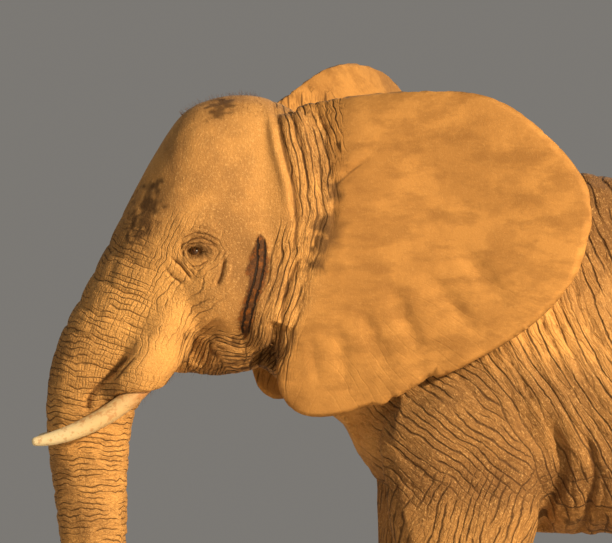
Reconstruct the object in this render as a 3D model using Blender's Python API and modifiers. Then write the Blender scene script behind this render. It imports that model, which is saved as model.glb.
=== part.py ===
"""African elephant cow at life size, standing in mid stride with the trunk hanging.

The animal faces -Y, its left side is +X, and its soles rest on z = 0.  All sizes are metres.

How it is made:
  * the flesh (torso, neck, head, trunk, legs) is a set of lofts and ellipsoids, blended into one
    closed skin by a voxel remesh, and then parted by thin cuts into what a person would name;
  * the ears and the tail are thin forms of their own, trimmed where they meet the flesh;
  * eyes, tusks and toenails are solids that sit in sockets cut to fit them.
"""

import math
from dataclasses import dataclass

import bmesh
import bpy
import numpy as np
from mathutils import Matrix, Vector
from mathutils.bvhtree import BVHTree

# ---------------------------------------------------------------- driving dimensions
SHOULDER_HEIGHT = 2.50
GAP = 0.0005                 # clearance that each cut leaves between neighbouring parts
LEFT, RIGHT = 1, -1          # sign of x on each side of the body

BLEND_VOXEL = 0.020          # grain of the remesh that blends the flesh forms
BLEND_PASSES = 8
FLESH_TRIANGLES = 1980
HEAD_DETAIL = 0.52           # how much finer the triangles of the head are than the body's
TRUNK_DETAIL = 0.30

# Where each foot stands: the right forefoot and the left hind foot are a stride ahead.
FOREFOOT_Y = {LEFT: 0.00, RIGHT: -0.16}
HINDFOOT_Y = {LEFT: 1.26, RIGHT: 1.40}
FOREFOOT_X = 0.285
HINDFOOT_X = 0.265
SHOULDER_Y = -0.04
HAUNCH_Y = 1.32

EYE_RADIUS = 0.0215
EYE_CENTRE = (0.270, -1.057, 2.190)
EYE_OPENING = (0.028, 0.030, 0.017)

TUSK_RADIUS = 0.038
TUSK_TIP_RADIUS = 0.015

TOENAIL_SIZE = (0.048, 0.021, 0.045)
TOENAIL_HEIGHT = 0.054
TOENAIL_DEPTH = 0.010        # how far a nail's middle lies under the surface of the foot
TOENAIL_TURNS = {"fore": (-62, -21, 20, 60), "hind": (-44, 0, 44)}


@dataclass
class Station:
    """One cross-section of a loft.

    top and bottom are (y, z) points of the side outline, half_width is the reach to each side, and
    centre_x is the middle.  square above 2 makes the section boxier than an ellipse, and pear above
    0 moves its widest place towards the bottom.
    """

    top: tuple
    bottom: tuple
    half_width: float
    centre_x: float = 0.0
    square: float = 2.2
    pear: float = 0.0

    def numbers(self):
        """The station as one row, for the curve that runs through all the stations."""
        return (*self.top, *self.bottom, self.half_width, self.centre_x, self.square, self.pear)


@dataclass
class EarPose:
    """How one ear is held, which is the only way in which the two ears differ."""

    spread: float        # angle between the ear and the body's midplane
    forward: float       # how far its free edge is drawn towards the face
    lift: float          # how far its top is raised


EAR_POSES = {
    LEFT: EarPose(math.radians(16), 0.0, 0.0),
    RIGHT: EarPose(math.radians(52), 0.15, 0.14),
}
EAR_HINGE_Y = -0.60
EAR_ROOT_THICKNESS = 0.050
EAR_EDGE_THICKNESS = 0.015
EAR_BELLY = 0.030            # how far the sheet bows outwards between root and edge
EAR_RIPPLE = 0.009           # depth of the waves that run to the edge in the lower half
EAR_RIPPLES = 11


# ---------------------------------------------------------------- outlines
def level(y, top, bottom, half_width, **more):
    """A station that stands upright at y."""
    return Station((y, top), (y, bottom), half_width, **more)


TORSO = [
    level(-0.53, 2.24, 1.62, 0.17),                                   # point of the breast
    level(-0.40, 2.40, 1.36, 0.31),
    level(-0.20, 2.46, 1.20, 0.385),
    level(0.10, SHOULDER_HEIGHT - 0.01, 1.13, 0.430, pear=0.08),
    level(0.45, SHOULDER_HEIGHT - 0.01, 1.11, 0.470, pear=0.14),      # withers
    level(0.80, 2.425, 1.09, 0.510, pear=0.17),                       # dip of the back, belly
    level(1.12, 2.455, 1.10, 0.510, pear=0.15),                       # high point of the rump
    level(1.38, 2.41, 1.22, 0.455, pear=0.08),
    level(1.58, 2.27, 1.40, 0.355),
    level(1.71, 2.08, 1.58, 0.225),
    level(1.765, 1.95, 1.70, 0.105),                                  # root of the tail
]

NECK = [
    Station((-0.16, 2.44), (-0.26, 1.40), 0.36),
    Station((-0.40, 2.45), (-0.47, 1.52), 0.315),
    Station((-0.58, 2.50), (-0.65, 1.64), 0.290),
    Station((-0.76, 2.62), (-0.82, 1.755), 0.280),
]

# From the back of the skull, over the forehead and down the trunk to its tip.
HEAD_AND_TRUNK = [
    Station((-0.535, 2.55), (-0.66, 1.95), 0.235, square=2.3),
    Station((-0.64, 2.700), (-0.75, 1.83), 0.290, square=2.5),
    Station((-0.80, 2.780), (-0.87, 1.80), 0.312, square=2.6),
    Station((-0.96, 2.783), (-0.97, 1.79), 0.315, square=2.6),        # crown
    Station((-1.10, 2.725), (-1.06, 1.79), 0.302, square=2.5),
    Station((-1.205, 2.58), (-1.12, 1.78), 0.278, square=2.4),        # forehead
    Station((-1.305, 2.40), (-1.155, 1.75), 0.252, square=2.4),
    Station((-1.41, 2.195), (-1.19, 1.705), 0.222, square=2.3),
    Station((-1.50, 2.02), (-1.215, 1.675), 0.197, square=2.3),       # root of the trunk
    Station((-1.575, 1.88), (-1.245, 1.645), 0.180, square=2.3),
    Station((-1.618, 1.74), (-1.280, 1.600), 0.172, square=2.3),
    Station((-1.633, 1.59), (-1.300, 1.53), 0.166, square=2.3),
    Station((-1.624, 1.44), (-1.310, 1.42), 0.158, square=2.3),
    Station((-1.605, 1.28), (-1.318, 1.28), 0.148, square=2.3),
    Station((-1.583, 1.09), (-1.321, 1.09), 0.136, square=2.2),
    Station((-1.560, 0.88), (-1.330, 0.88), 0.120, square=2.2),
    Station((-1.543, 0.66), (-1.346, 0.66), 0.102, square=2.2),
    Station((-1.528, 0.46), (-1.362, 0.47), 0.086, square=2.2),
    Station((-1.505, 0.29), (-1.364, 0.335), 0.074, square=2.2),
    Station((-1.452, 0.150), (-1.342, 0.235), 0.066, square=2.2),
    Station((-1.368, 0.080), (-1.304, 0.192), 0.062, square=2.2),     # tip, curled back
]

JAW = [
    Station((-0.78, 2.02), (-0.80, 1.755), 0.215),
    Station((-0.88, 1.98), (-0.90, 1.722), 0.200),
    Station((-0.99, 1.93), (-0.99, 1.716), 0.158),
    Station((-1.08, 1.86), (-1.075, 1.722), 0.105),
    Station((-1.145, 1.805), (-1.135, 1.733), 0.058),                 # point of the lower lip
]

# Swelling of the upper jaw round the root of each tusk, down to the lip that hangs over it: y, z, reach
# ahead and behind, rise per unit of that reach, half width, x.
TUSK_SHEATH = [
    (-1.02, 2.22, 0.075, -0.23, 0.075, 0.165),
    (-1.09, 2.06, 0.105, -0.23, 0.105, 0.170),
    (-1.16, 1.90, 0.118, -0.20, 0.113, 0.170),
    (-1.215, 1.785, 0.128, -0.12, 0.104, 0.172),
    (-1.262, 1.705, 0.132, 0.00, 0.084, 0.178),
    (-1.292, 1.650, 0.124, 0.12, 0.062, 0.186),
]

# Axis of a tusk: x, y, z, radius as a share of the full one.  It starts inside the jaw.
TUSK = [
    (0.166, -1.185, 1.770, 0.92),
    (0.177, -1.240, 1.698, 1.00),
    (0.190, -1.310, 1.628, 1.00),
    (0.206, -1.400, 1.565, 0.97),
    (0.223, -1.500, 1.515, 0.87),
    (0.238, -1.600, 1.483, 0.68),
    (0.250, -1.672, 1.471, TUSK_TIP_RADIUS / TUSK_RADIUS),
]

# Foreleg: height, reach ahead, reach behind, half width, how far in from the foot's own line.
FORELEG = [
    (2.10, 0.15, 0.15, 0.07, 0.03),
    (1.90, 0.26, 0.26, 0.13, 0.03),      # shoulder blade
    (1.62, 0.335, 0.325, 0.180, 0.02),
    (1.42, 0.325, 0.320, 0.195, 0.01),
    (1.26, 0.310, 0.300, 0.190, 0.01),   # elbow
    (1.09, 0.285, 0.250, 0.178, 0.01),
    (0.90, 0.228, 0.200, 0.163, 0.00),
    (0.70, 0.185, 0.172, 0.150, 0.00),
    (0.52, 0.175, 0.160, 0.148, 0.00),   # wrist
    (0.36, 0.160, 0.157, 0.143, 0.00),
    (0.22, 0.188, 0.168, 0.163, 0.00),
    (0.09, 0.226, 0.184, 0.188, 0.00),   # pad of the foot
    (0.02, 0.226, 0.186, 0.190, 0.00),
    (-0.10, 0.210, 0.172, 0.176, 0.00),
]

# Hind leg, in the same columns.
HINDLEG = [
    (2.10, 0.18, 0.20, 0.10, -0.01),
    (1.85, 0.31, 0.31, 0.165, -0.03),
    (1.55, 0.35, 0.35, 0.200, -0.04),    # thigh
    (1.30, 0.325, 0.315, 0.200, -0.03),
    (1.12, 0.290, 0.250, 0.185, -0.02),
    (0.96, 0.250, 0.205, 0.168, -0.01),  # knee
    (0.78, 0.192, 0.180, 0.152, 0.00),
    (0.58, 0.148, 0.180, 0.139, 0.00),
    (0.40, 0.132, 0.182, 0.134, 0.00),   # heel
    (0.24, 0.148, 0.180, 0.143, 0.00),
    (0.10, 0.184, 0.184, 0.160, 0.00),
    (0.02, 0.186, 0.186, 0.162, 0.00),
    (-0.10, 0.170, 0.172, 0.148, 0.00),
]

# Where the legs are parted: front and back of the cut at the body, height of the joint and of the ankle.
LEG_CUTS = {"fore": (-0.75, 0.33, 0.62, 0.20), "hind": (0.98, 2.2, 0.70, 0.20)}

# Centres and radii of the swellings that shape skull and shoulders, on the left side.
SWELLINGS = {
    "cheekbone": ((0.215, -0.93, 2.08), (0.115, 0.20, 0.19)),
    "brow": ((0.220, -1.085, 2.245), (0.070, 0.12, 0.075)),
    "eye_socket": ((0.250, -1.055, 2.185), (0.045, 0.075, 0.065)),
    "ear_base": ((0.215, -0.67, 2.37), (0.115, 0.18, 0.36)),
    "ear_base_low": ((0.200, -0.74, 2.02), (0.105, 0.14, 0.26)),
}

# The ear's free edge as (y, z), seen from the side, from the crown round to the lobe.
EAR_EDGE = [
    (-0.665, 2.748), (-0.420, 2.784), (-0.130, 2.796), (0.080, 2.768), (0.270, 2.628), (0.405, 2.470),
    (0.442, 2.330), (0.398, 2.140), (0.290, 1.975), (0.105, 1.832), (-0.150, 1.712), (-0.400, 1.604),
    (-0.580, 1.552), (-0.700, 1.580), (-0.755, 1.680), (-0.745, 1.785),
]
# The line along which it grows from the head, as (x, y, z).
EAR_ROOT = [
    (0.150, -0.720, 2.660), (0.222, -0.690, 2.610), (0.276, -0.660, 2.520), (0.298, -0.642, 2.410),
    (0.303, -0.645, 2.300), (0.296, -0.665, 2.180), (0.270, -0.700, 2.060), (0.225, -0.735, 1.960),
]

# Centre line and radius of the tail: y, z, radius.
TAIL = [
    (1.60, 2.02, 0.080),
    (1.72, 1.99, 0.072),
    (1.800, 1.89, 0.058),
    (1.835, 1.69, 0.043),
    (1.845, 1.40, 0.032),
    (1.835, 1.12, 0.024),
    (1.825, 0.97, 0.020),
]
# The tuft is a flat brush: height, half width in y, half thickness in x.
TAIL_TUFT_Y = 1.822
TAIL_TUFT = [
    (1.045, 0.027, 0.027),
    (0.960, 0.044, 0.034),
    (0.860, 0.058, 0.036),
    (0.760, 0.056, 0.030),
    (0.670, 0.034, 0.018),
    (0.640, 0.012, 0.008),
]

SKIN = ((0.46, 0.24, 0.10), 0.85)
IVORY = ((0.86, 0.70, 0.47), 0.42)
NAIL = ((0.45, 0.31, 0.19), 0.60)
EYE = ((0.09, 0.035, 0.012), 0.12)
HAIR = ((0.035, 0.025, 0.020), 0.60)


# ---------------------------------------------------------------- curves and lofts
def through(knots, count):
    """count rows along the smooth curve through rows of numbers, evenly spaced by length."""
    knots = np.asarray(knots, float)
    padded = np.vstack([2 * knots[0] - knots[1], knots, 2 * knots[-1] - knots[-2]])
    share = np.linspace(0, 1, 24, endpoint=False)[:, None]
    rows = []
    for a, b, c, d in zip(padded, padded[1:], padded[2:], padded[3:]):
        bend = (c - a) * share + (2 * a - 5 * b + 4 * c - d) * share**2 + (3 * b - a - 3 * c + d) * share**3
        rows.append(b + bend / 2)
    rows = np.vstack([*rows, knots[-1:]])
    run = np.concatenate([[0], np.cumsum(np.linalg.norm(np.diff(rows[:, :4], axis=0), axis=1))])
    wanted = np.linspace(0, run[-1], count)
    return np.stack([np.interp(wanted, run, column) for column in rows.T], axis=1)


def rounded(angle, square):
    """Sideways and upward reach of a superellipse at an angle from its top."""
    out, up = math.sin(angle), math.cos(angle)
    return math.copysign(abs(out) ** (2 / square), out), math.copysign(abs(up) ** (2 / square), up)


def section(row, sides):
    """The ring of points of one station's row."""
    top_y, top_z, bottom_y, bottom_z, half, centre_x, square, pear = row
    middle = np.array([top_y + bottom_y, top_z + bottom_z]) / 2
    arm = np.array([top_y, top_z]) - middle
    ring = []
    for step in range(sides):
        out, up = rounded(2 * math.pi * step / sides, square)
        y, z = middle + arm * up
        ring.append((centre_x + half * out * (1 - pear * up), y, z))
    return ring


def bridged(name, rings):
    """A closed solid over rings of points, with flat ends."""
    build = bmesh.new()
    loops = [[build.verts.new(point) for point in ring] for ring in rings]
    for one, two in zip(loops, loops[1:]):
        for i, vert in enumerate(one):
            build.faces.new((vert, one[i - 1], two[i - 1], two[i]))
    build.faces.new(loops[0])
    build.faces.new(loops[-1])
    bmesh.ops.recalc_face_normals(build, faces=build.faces)
    return to_object(build, name)


def loft(name, stations, rings, sides):
    """A closed solid through stations."""
    rows = through([station.numbers() for station in stations], rings)
    return bridged(name, [section(row, sides) for row in rows])


def to_object(build, name):
    """Turns a bmesh into an object of the elephant's collection."""
    mesh = bpy.data.meshes.new(name)
    build.to_mesh(mesh)
    build.free()
    made = bpy.data.objects.new(name, mesh)
    bpy.context.scene.collection.children["african_elephant"].objects.link(made)
    return made


def ellipsoid(name, centre, radii, turn=None, segments=28, rings=16):
    """An ellipsoid, turned by a matrix before it is put at its centre."""
    build = bmesh.new()
    bmesh.ops.create_uvsphere(build, u_segments=segments, v_segments=rings, radius=1.0)
    stretch = Matrix.Diagonal((*radii, 1.0))
    build.transform(Matrix.Translation(centre) @ (turn or Matrix.Identity(4)) @ stretch)
    return to_object(build, name)


def prism(name, outline, x_low, x_high):
    """A block with a straight-sided (y, z) outline, from one x to another."""
    return bridged(name, [[(x, y, z) for y, z in outline] for x in (x_low, x_high)])


def share_between(value, start, end):
    """How far value is from start to end, kept between 0 and 1."""
    return min(max((value - start) / (end - start), 0.0), 1.0)


def word(side):
    """The side's name."""
    return "left" if side == LEFT else "right"


# ---------------------------------------------------------------- joining and parting
def finished(made):
    """Applies an object's modifiers."""
    graph = bpy.context.evaluated_depsgraph_get()
    mesh = bpy.data.meshes.new_from_object(made.evaluated_get(graph), depsgraph=graph)
    made.modifiers.clear()
    made.data = mesh
    return made


def remove(*objects):
    """Takes objects out of the file."""
    for each in objects:
        bpy.data.objects.remove(each)


def joined(name, objects):
    """One object that holds the meshes of several, which are removed."""
    build = bmesh.new()
    for each in objects:
        build.from_mesh(each.data)
    remove(*objects)
    return to_object(build, name)


def copied(source, name):
    """A copy of an object, with a mesh of its own."""
    build = bmesh.new()
    build.from_mesh(source.data)
    return to_object(build, name)


def cut(target, cutter, operation="DIFFERENCE"):
    """Applies one Boolean to target and tidies the result to a single clean body."""
    step = target.modifiers.new("cut", "BOOLEAN")
    step.operation = operation
    step.object = cutter
    finished(target)
    keep_largest(target)


def swollen(source, by):
    """A copy of an object, grown outwards by a small distance."""
    copy = copied(source, f"{source.name}_swollen")
    grow = copy.modifiers.new("grow", "DISPLACE")
    grow.strength = by
    grow.mid_level = 0.0
    return finished(copy)


def part_off(rest, name, region):
    """Makes what rest has inside region a part of its own, and takes it and a thin gap from rest."""
    piece = copied(rest, name)
    cut(piece, region, "INTERSECT")
    grown = swollen(region, 1.5 * GAP)
    cut(rest, grown)
    remove(region, grown)
    return piece


def keep_largest(made):
    """Welds stray points, and drops slivers that a cut can leave beside the part."""
    build = bmesh.new()
    build.from_mesh(made.data)
    bmesh.ops.remove_doubles(build, verts=build.verts, dist=1e-6)
    left, shells = set(build.verts), []
    while left:
        reached = [left.pop()]
        for vert in reached:
            near = {edge.other_vert(vert) for edge in vert.link_edges} & left
            left -= near
            reached.extend(near)
        shells.append(reached)
    shells.sort(key=len)
    bmesh.ops.delete(build, geom=[vert for shell in shells[:-1] for vert in shell], context="VERTS")
    build.to_mesh(made.data)
    build.free()


def drop_folded(made):
    """Splits the faces into triangles and drops pairs that lie on each other, spikes that a cut can leave."""
    build = bmesh.new()
    build.from_mesh(made.data)
    bmesh.ops.triangulate(build, faces=build.faces)
    alike = {}
    for face in build.faces:
        alike.setdefault(frozenset(face.verts), []).append(face)
    folded = [face for faces in alike.values() if len(faces) > 1 for face in faces]
    bmesh.ops.delete(build, geom=folded, context="FACES")
    build.to_mesh(made.data)
    build.free()


# ---------------------------------------------------------------- the flesh in one piece
def leg(name, side, table, foot_x, foot_y, body_y):
    """A leg, whose upper end keeps to the body at body_y while the foot stands at foot_y."""
    stations = []
    for z, ahead, behind, half, inset in table:
        share = share_between(z, 0.4, 1.5)
        y = foot_y + (body_y - foot_y) * share * share * (3 - 2 * share)
        stations.append(Station((y - ahead, z), (y + behind, z), half, side * (foot_x - inset), square=2.3))
    return loft(name, stations, 34, 28)


def tusk_sheath(side):
    """The swelling of the upper jaw round the root of one tusk."""
    stations = []
    for y, z, reach, rise, half_width, x in TUSK_SHEATH:
        across = Vector((0.82, rise)) * reach
        ahead, behind = (y - across.x, z - across.y), (y + across.x, z + across.y)
        stations.append(Station(ahead, behind, half_width, side * x))
    return loft(f"sheath_{word(side)}", stations, 14, 20)


def flesh_forms(side):
    """The forms of the flesh that come in pairs."""
    forms = [
        leg(f"foreleg_{word(side)}", side, FORELEG, FOREFOOT_X, FOREFOOT_Y[side], SHOULDER_Y),
        leg(f"hindleg_{word(side)}", side, HINDLEG, HINDFOOT_X, HINDFOOT_Y[side], HAUNCH_Y),
        tusk_sheath(side),
    ]
    for name, ((x, y, z), radii) in SWELLINGS.items():
        forms.append(ellipsoid(f"{name}_{word(side)}", (side * x, y, z), radii))
    return forms


def flesh():
    """The whole body but ears and tail, blended into one closed skin and cut flat at the soles."""
    body = joined(
        "flesh",
        [
            loft("torso", TORSO, 40, 36),
            loft("neck", NECK, 16, 32),
            loft("head_and_trunk", HEAD_AND_TRUNK, 110, 32),
            loft("jaw", JAW, 16, 20),
            *flesh_forms(LEFT),
            *flesh_forms(RIGHT),
        ],
    )
    blend = body.modifiers.new("blend", "REMESH")
    blend.mode = "VOXEL"
    blend.voxel_size = BLEND_VOXEL
    soften = body.modifiers.new("soften", "SMOOTH")
    soften.iterations = BLEND_PASSES
    finished(body)
    coarse = body.vertex_groups.new(name="coarse")
    for vert in body.data.vertices:
        _, y, z = vert.co
        of_head = share_between(y, -0.35, -0.70) * share_between(z, 1.30, 1.60)
        of_trunk = share_between(y, -1.00, -1.20)
        coarse.add([vert.index], 1 - max(HEAD_DETAIL * of_head, TRUNK_DETAIL * of_trunk), "REPLACE")
    fewer = body.modifiers.new("fewer", "DECIMATE")
    fewer.ratio = FLESH_TRIANGLES / (2 * len(body.data.polygons))
    fewer.vertex_group = "coarse"
    finished(body)
    body.vertex_groups.clear()
    floor = under(0)
    cut(body, floor)
    remove(floor)
    return body


# ---------------------------------------------------------------- eyes, tusks and toenails
def eye(side):
    """An eyeball, with its poles fore and aft, so that the pupil falls on even facets."""
    x, y, z = EYE_CENTRE
    turn = Matrix.Rotation(math.pi / 2, 4, "X")
    return ellipsoid(f"eye_{word(side)}", (side * x, y, z), (EYE_RADIUS,) * 3, turn, 12, 8)


def eye_opening(side):
    """The opening between the lids, which reaches the eyeball from outside."""
    x, y, z = EYE_CENTRE
    return ellipsoid(f"opening_{word(side)}", (side * (x + 0.024), y, z - 0.001), EYE_OPENING, None, 10, 6)


def tusk(side):
    """A slender tusk that comes out of the lip forwards, outwards and a little upwards."""
    rows = through(TUSK, 11)
    ahead = np.gradient(rows[:, :3], axis=0)
    rings = []
    for (x, y, z, share), run in zip(rows, ahead):
        run = Vector(run).normalized()
        across = run.cross(Vector((0, 0, 1))).normalized()
        up = across.cross(run)
        ring = []
        for step in range(10):
            turn = 2 * math.pi * step / 10
            point = Vector((x, y, z)) + (across * math.cos(turn) + up * math.sin(turn)) * TUSK_RADIUS * share
            ring.append((side * point.x, point.y, point.z))
        rings.append(ring)
    made = bridged(f"tusk_{word(side)}", rings)
    blunt = made.modifiers.new("blunt_tip", "BEVEL")
    blunt.width = TUSK_TIP_RADIUS * 0.4
    blunt.limit_method = "ANGLE"
    blunt.angle_limit = math.radians(60)
    return finished(made)


def toenails(limb, side, foot):
    """The nails round the front of one foot, each set in the surface that a ray from inside meets."""
    tree = BVHTree.FromObject(foot, bpy.context.evaluated_depsgraph_get())
    foot_x, foot_y = (FOREFOOT_X, FOREFOOT_Y) if limb == "fore" else (HINDFOOT_X, HINDFOOT_Y)
    centre = Vector((side * foot_x, foot_y[side], TOENAIL_HEIGHT))
    made = []
    for number, degrees in enumerate(TOENAIL_TURNS[limb], 1):
        turn = side * math.radians(degrees)
        outwards = Vector((math.sin(turn), -math.cos(turn), 0))
        at = tree.ray_cast(centre + outwards, -outwards)[0] - outwards * TOENAIL_DEPTH
        lean = Matrix.Rotation(turn, 4, "Z") @ Matrix.Rotation(math.radians(-12), 4, "X")
        made.append(ellipsoid(f"toenail_{limb}_{word(side)}_{number}", at, TOENAIL_SIZE, lean, 8, 4))
    return made


# ---------------------------------------------------------------- ears and tail
def ear(side):
    """One ear: a sheet from its root line to its free edge, thick at the root and thin at the edge."""
    along, across = 27, 5
    pose = EAR_POSES[side]
    roots = through([(*point, 0) for point in EAR_ROOT], along)[:, :3]
    edges = through([(*point, 0, 0) for point in EAR_EDGE], along)[:, :2]
    facing = Vector((math.cos(pose.spread), -math.sin(pose.spread), 0))
    outer, inner = [], []
    for row, (root, edge) in enumerate(zip(roots, edges)):
        outer.append([])
        inner.append([])
        for share in np.linspace(0, 1, across):
            free = share * share * (3 - 2 * share)
            y = root[1] + (edge[0] - root[1]) * share
            z = root[2] + (edge[1] - root[2]) * share
            away = (y - EAR_HINGE_Y) / math.cos(EAR_POSES[LEFT].spread)
            swung = max(away, 0) + 0.2 * min(away, 0)
            low = share_between(z, 2.3, 1.9)
            wave = EAR_RIPPLE * low * share * share * math.sin(2 * math.pi * EAR_RIPPLES * row / along)
            x = root[0] + free * (swung * math.sin(pose.spread)) + EAR_BELLY * math.sin(math.pi * share)
            y_turned = EAR_HINGE_Y + away * math.cos(pose.spread) - pose.forward
            y += (y_turned - y) * free - 0.5 * pose.forward * (1 - free)
            raised = share_between(away, 0, 0.35) * share_between(z, 1.55, 2.80)
            z += free * pose.lift * max(raised, 0.4 * low)
            thick = EAR_ROOT_THICKNESS + (EAR_EDGE_THICKNESS - EAR_ROOT_THICKNESS) * min(1.0, 1.8 * share)
            for sheet, sign in ((outer, 1), (inner, -1)):
                point = Vector((x, y, z)) + facing * (wave + sign * thick / 2)
                sheet[-1].append((side * point.x, point.y, point.z))
    # Each ring runs out over the outer face and back over the inner one.
    rings = [face + back[::-1] for face, back in zip(outer, inner)]
    return bridged(f"ear_{word(side)}", rings)


def tail():
    """The tail, from inside the rump to inside its tuft."""
    rows = through([(y, z, r, 0) for y, z, r in TAIL], 12)
    slopes = np.gradient(rows[:, :2], axis=0)
    rings = []
    for (y, z, radius, _), slope in zip(rows, slopes):
        across = np.array([slope[1], -slope[0]]) / np.linalg.norm(slope)
        turns = 2 * math.pi * np.arange(8) / 8
        rings.append([
            (radius * math.sin(t), y + radius * math.cos(t) * across[0], z + radius * math.cos(t) * across[1])
            for t in turns
        ])
    return bridged("tail", rings)


def tail_tuft():
    """The flat brush of stiff hair at the end of the tail."""
    stations = [
        Station((TAIL_TUFT_Y - half, z), (TAIL_TUFT_Y + half, z), thick) for z, half, thick in TAIL_TUFT
    ]
    return loft("tail_tuft", stations, 9, 8)


# ---------------------------------------------------------------- the parting
def under(height):
    """Everything below a height."""
    return prism("region", [(-3, -1), (3, -1), (3, height), (-3, height)], -2, 2)


def leg_region(name, side, y_low, y_high):
    """Everything on one side under a plane that climbs outwards from the groin."""
    build = bmesh.new()
    bmesh.ops.create_cube(build, size=1.0)
    climb = Matrix.Rotation(-side * math.radians(32), 4, "Y")
    low, high = Vector((-1, y_low, -3)), Vector((1, y_high, 0))
    box = Matrix.Translation((low + high) / 2) @ Matrix.Diagonal((*(high - low), 1.0))
    build.transform(Matrix.Translation((side * 0.08, 0, 1.13)) @ climb @ box)
    region = to_object(build, name)
    inner = prism("midplane", [(-4, -2), (4, -2), (4, 4), (-4, 4)], side * 0.02, side * 3)
    cut(region, inner, "INTERSECT")
    remove(inner)
    return region


def legs(body):
    """Cuts the legs from the body, and each into an upper part, a lower part and a foot."""
    made = []
    for side in (LEFT, RIGHT):
        for limb, (y_low, y_high, joint, ankle) in LEG_CUTS.items():
            upper = part_off(body, f"{limb}leg_upper_{word(side)}", leg_region("region", side, y_low, y_high))
            foot = part_off(upper, f"{limb}foot_{word(side)}", under(ankle))
            lower = part_off(upper, f"{limb}leg_lower_{word(side)}", under(joint))
            made += [upper, lower, foot]
    return made


def main_parts(body):
    """Cuts jaw, trunk, head, neck and the three lengths of the torso from each other."""
    outlines = {
        "lower_jaw": [
            (-1.2, 1.6), (-1.155, 1.74), (-1.045, 1.885), (-0.975, 1.915), (-0.8, 1.925), (-0.76, 1.6),
        ],
        "trunk_tip": [(-2, -1), (-1, -1), (-1, 0.33), (-2, 0.27)],
        "trunk_lower": [(-2, -1), (-1.2, -1), (-1.2, 0.70), (-2, 0.70)],
        "trunk_middle": [(-2, -1), (-1.2, -1), (-1.2, 1.08), (-2, 1.08)],
        "trunk_upper": [(-2, -1), (-1.2, -1), (-1.2, 1.46), (-2, 1.49)],
        "trunk_root": [(-2, -1), (-1.24, -1), (-1.24, 1.60), (-2.2, 2.31)],
        "head": [(-3, -1), (-0.66, -1), (-0.66, 1.5), (-0.42, 2.6), (-0.40, 4), (-3, 4)],
        "neck": [(-3, -1), (-0.46, -1), (-0.46, 1.4), (-0.16, 2.6), (-0.15, 4), (-3, 4)],
        "shoulders": [(-3, -1), (0.42, -1), (0.42, 4), (-3, 4)],
        "belly": [(-3, -1), (0.92, -1), (0.92, 4), (-3, 4)],
    }
    made = {name: part_off(body, name, prism("region", outline, -2, 2)) for name, outline in outlines.items()}
    body.name = "hindquarters"
    return made


def set_into(host, insert):
    """Cuts a socket into host that fits insert with a thin gap."""
    grown = swollen(insert, GAP)
    cut(host, grown)
    remove(grown)


def main():
    body = flesh()
    skin_of_body = swollen(body, 2 * GAP)
    ears = [ear(LEFT), ear(RIGHT)]
    brush = tail_tuft()
    dock = tail()
    for form in (*ears, dock):
        # The plain body trims what the swollen one misses at the bottom of a crease.
        cut(form, skin_of_body)
        cut(form, body)
    remove(skin_of_body)
    set_into(brush, dock)

    limbs = legs(body)
    flesh_parts = main_parts(body)
    head = flesh_parts["head"]

    tusks, eyes, nails = [], [], []
    for side in (LEFT, RIGHT):
        eyes.append(eye(side))
        opening = eye_opening(side)
        cut(head, opening)
        remove(opening)
        set_into(head, eyes[-1])
        tusks.append(tusk(side))
        for host in (head, flesh_parts["trunk_root"]):
            set_into(host, tusks[-1])
    for foot in [limb for limb in limbs if "foot" in limb.name]:
        limb, side = foot.name[:4], LEFT if "left" in foot.name else RIGHT
        for nail in toenails(limb, side, foot):
            set_into(foot, nail)
            nails.append(nail)

    groups = {
        "skin": (SKIN, [*flesh_parts.values(), body, *limbs, *ears, dock]),
        "ivory": (IVORY, tusks),
        "nail": (NAIL, nails),
        "eye": (EYE, eyes),
        "hair": (HAIR, [brush]),
    }
    every = [made for _, members in groups.values() for made in members]
    for made in every:
        drop_folded(made)
    centre_on_floor(every)
    for kind, (look, members) in groups.items():
        for made in members:
            dress(made, kind, look)


def centre_on_floor(objects):
    """Moves the animal so that the origin is under the middle of its bounding box."""
    corners = np.array([vert.co for made in objects for vert in made.data.vertices])
    middle = (corners.min(axis=0) + corners.max(axis=0)) / 2
    shift = Matrix.Translation((-middle[0], -middle[1], 0))
    for made in objects:
        made.data.transform(shift)


def dress(made, kind, look):
    """Gives an object its own material, and smooth shading but at true edges."""
    colour, roughness = look
    material = bpy.data.materials.new(f"{kind}_of_{made.name}")
    material.use_nodes = True
    shader = material.node_tree.nodes["Principled BSDF"]
    shader.inputs["Base Color"].default_value = (*colour, 1.0)
    shader.inputs["Roughness"].default_value = roughness
    shader.inputs["Metallic"].default_value = 0.0
    made.data.materials.clear()
    made.data.materials.append(material)
    made.data.shade_smooth()
    made.data.set_sharp_from_angle(angle=math.radians(50))


for each in list(bpy.data.objects):
    bpy.data.objects.remove(each)
bpy.context.scene.collection.children.link(bpy.data.collections.new("african_elephant"))
main()
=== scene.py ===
"""Looks of a life-size museum model of an African elephant: hide, ears, eyes, ivory, nails and hair.

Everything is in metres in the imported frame: the animal faces -Y, its left side is +X, its soles are on z = 0.
"""

import logging
import math
from dataclasses import dataclass, field
from enum import Enum
from itertools import product
from typing import Callable

import bmesh
import bpy
import numpy as np
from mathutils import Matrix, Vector
from mathutils.bvhtree import BVHTree

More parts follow.
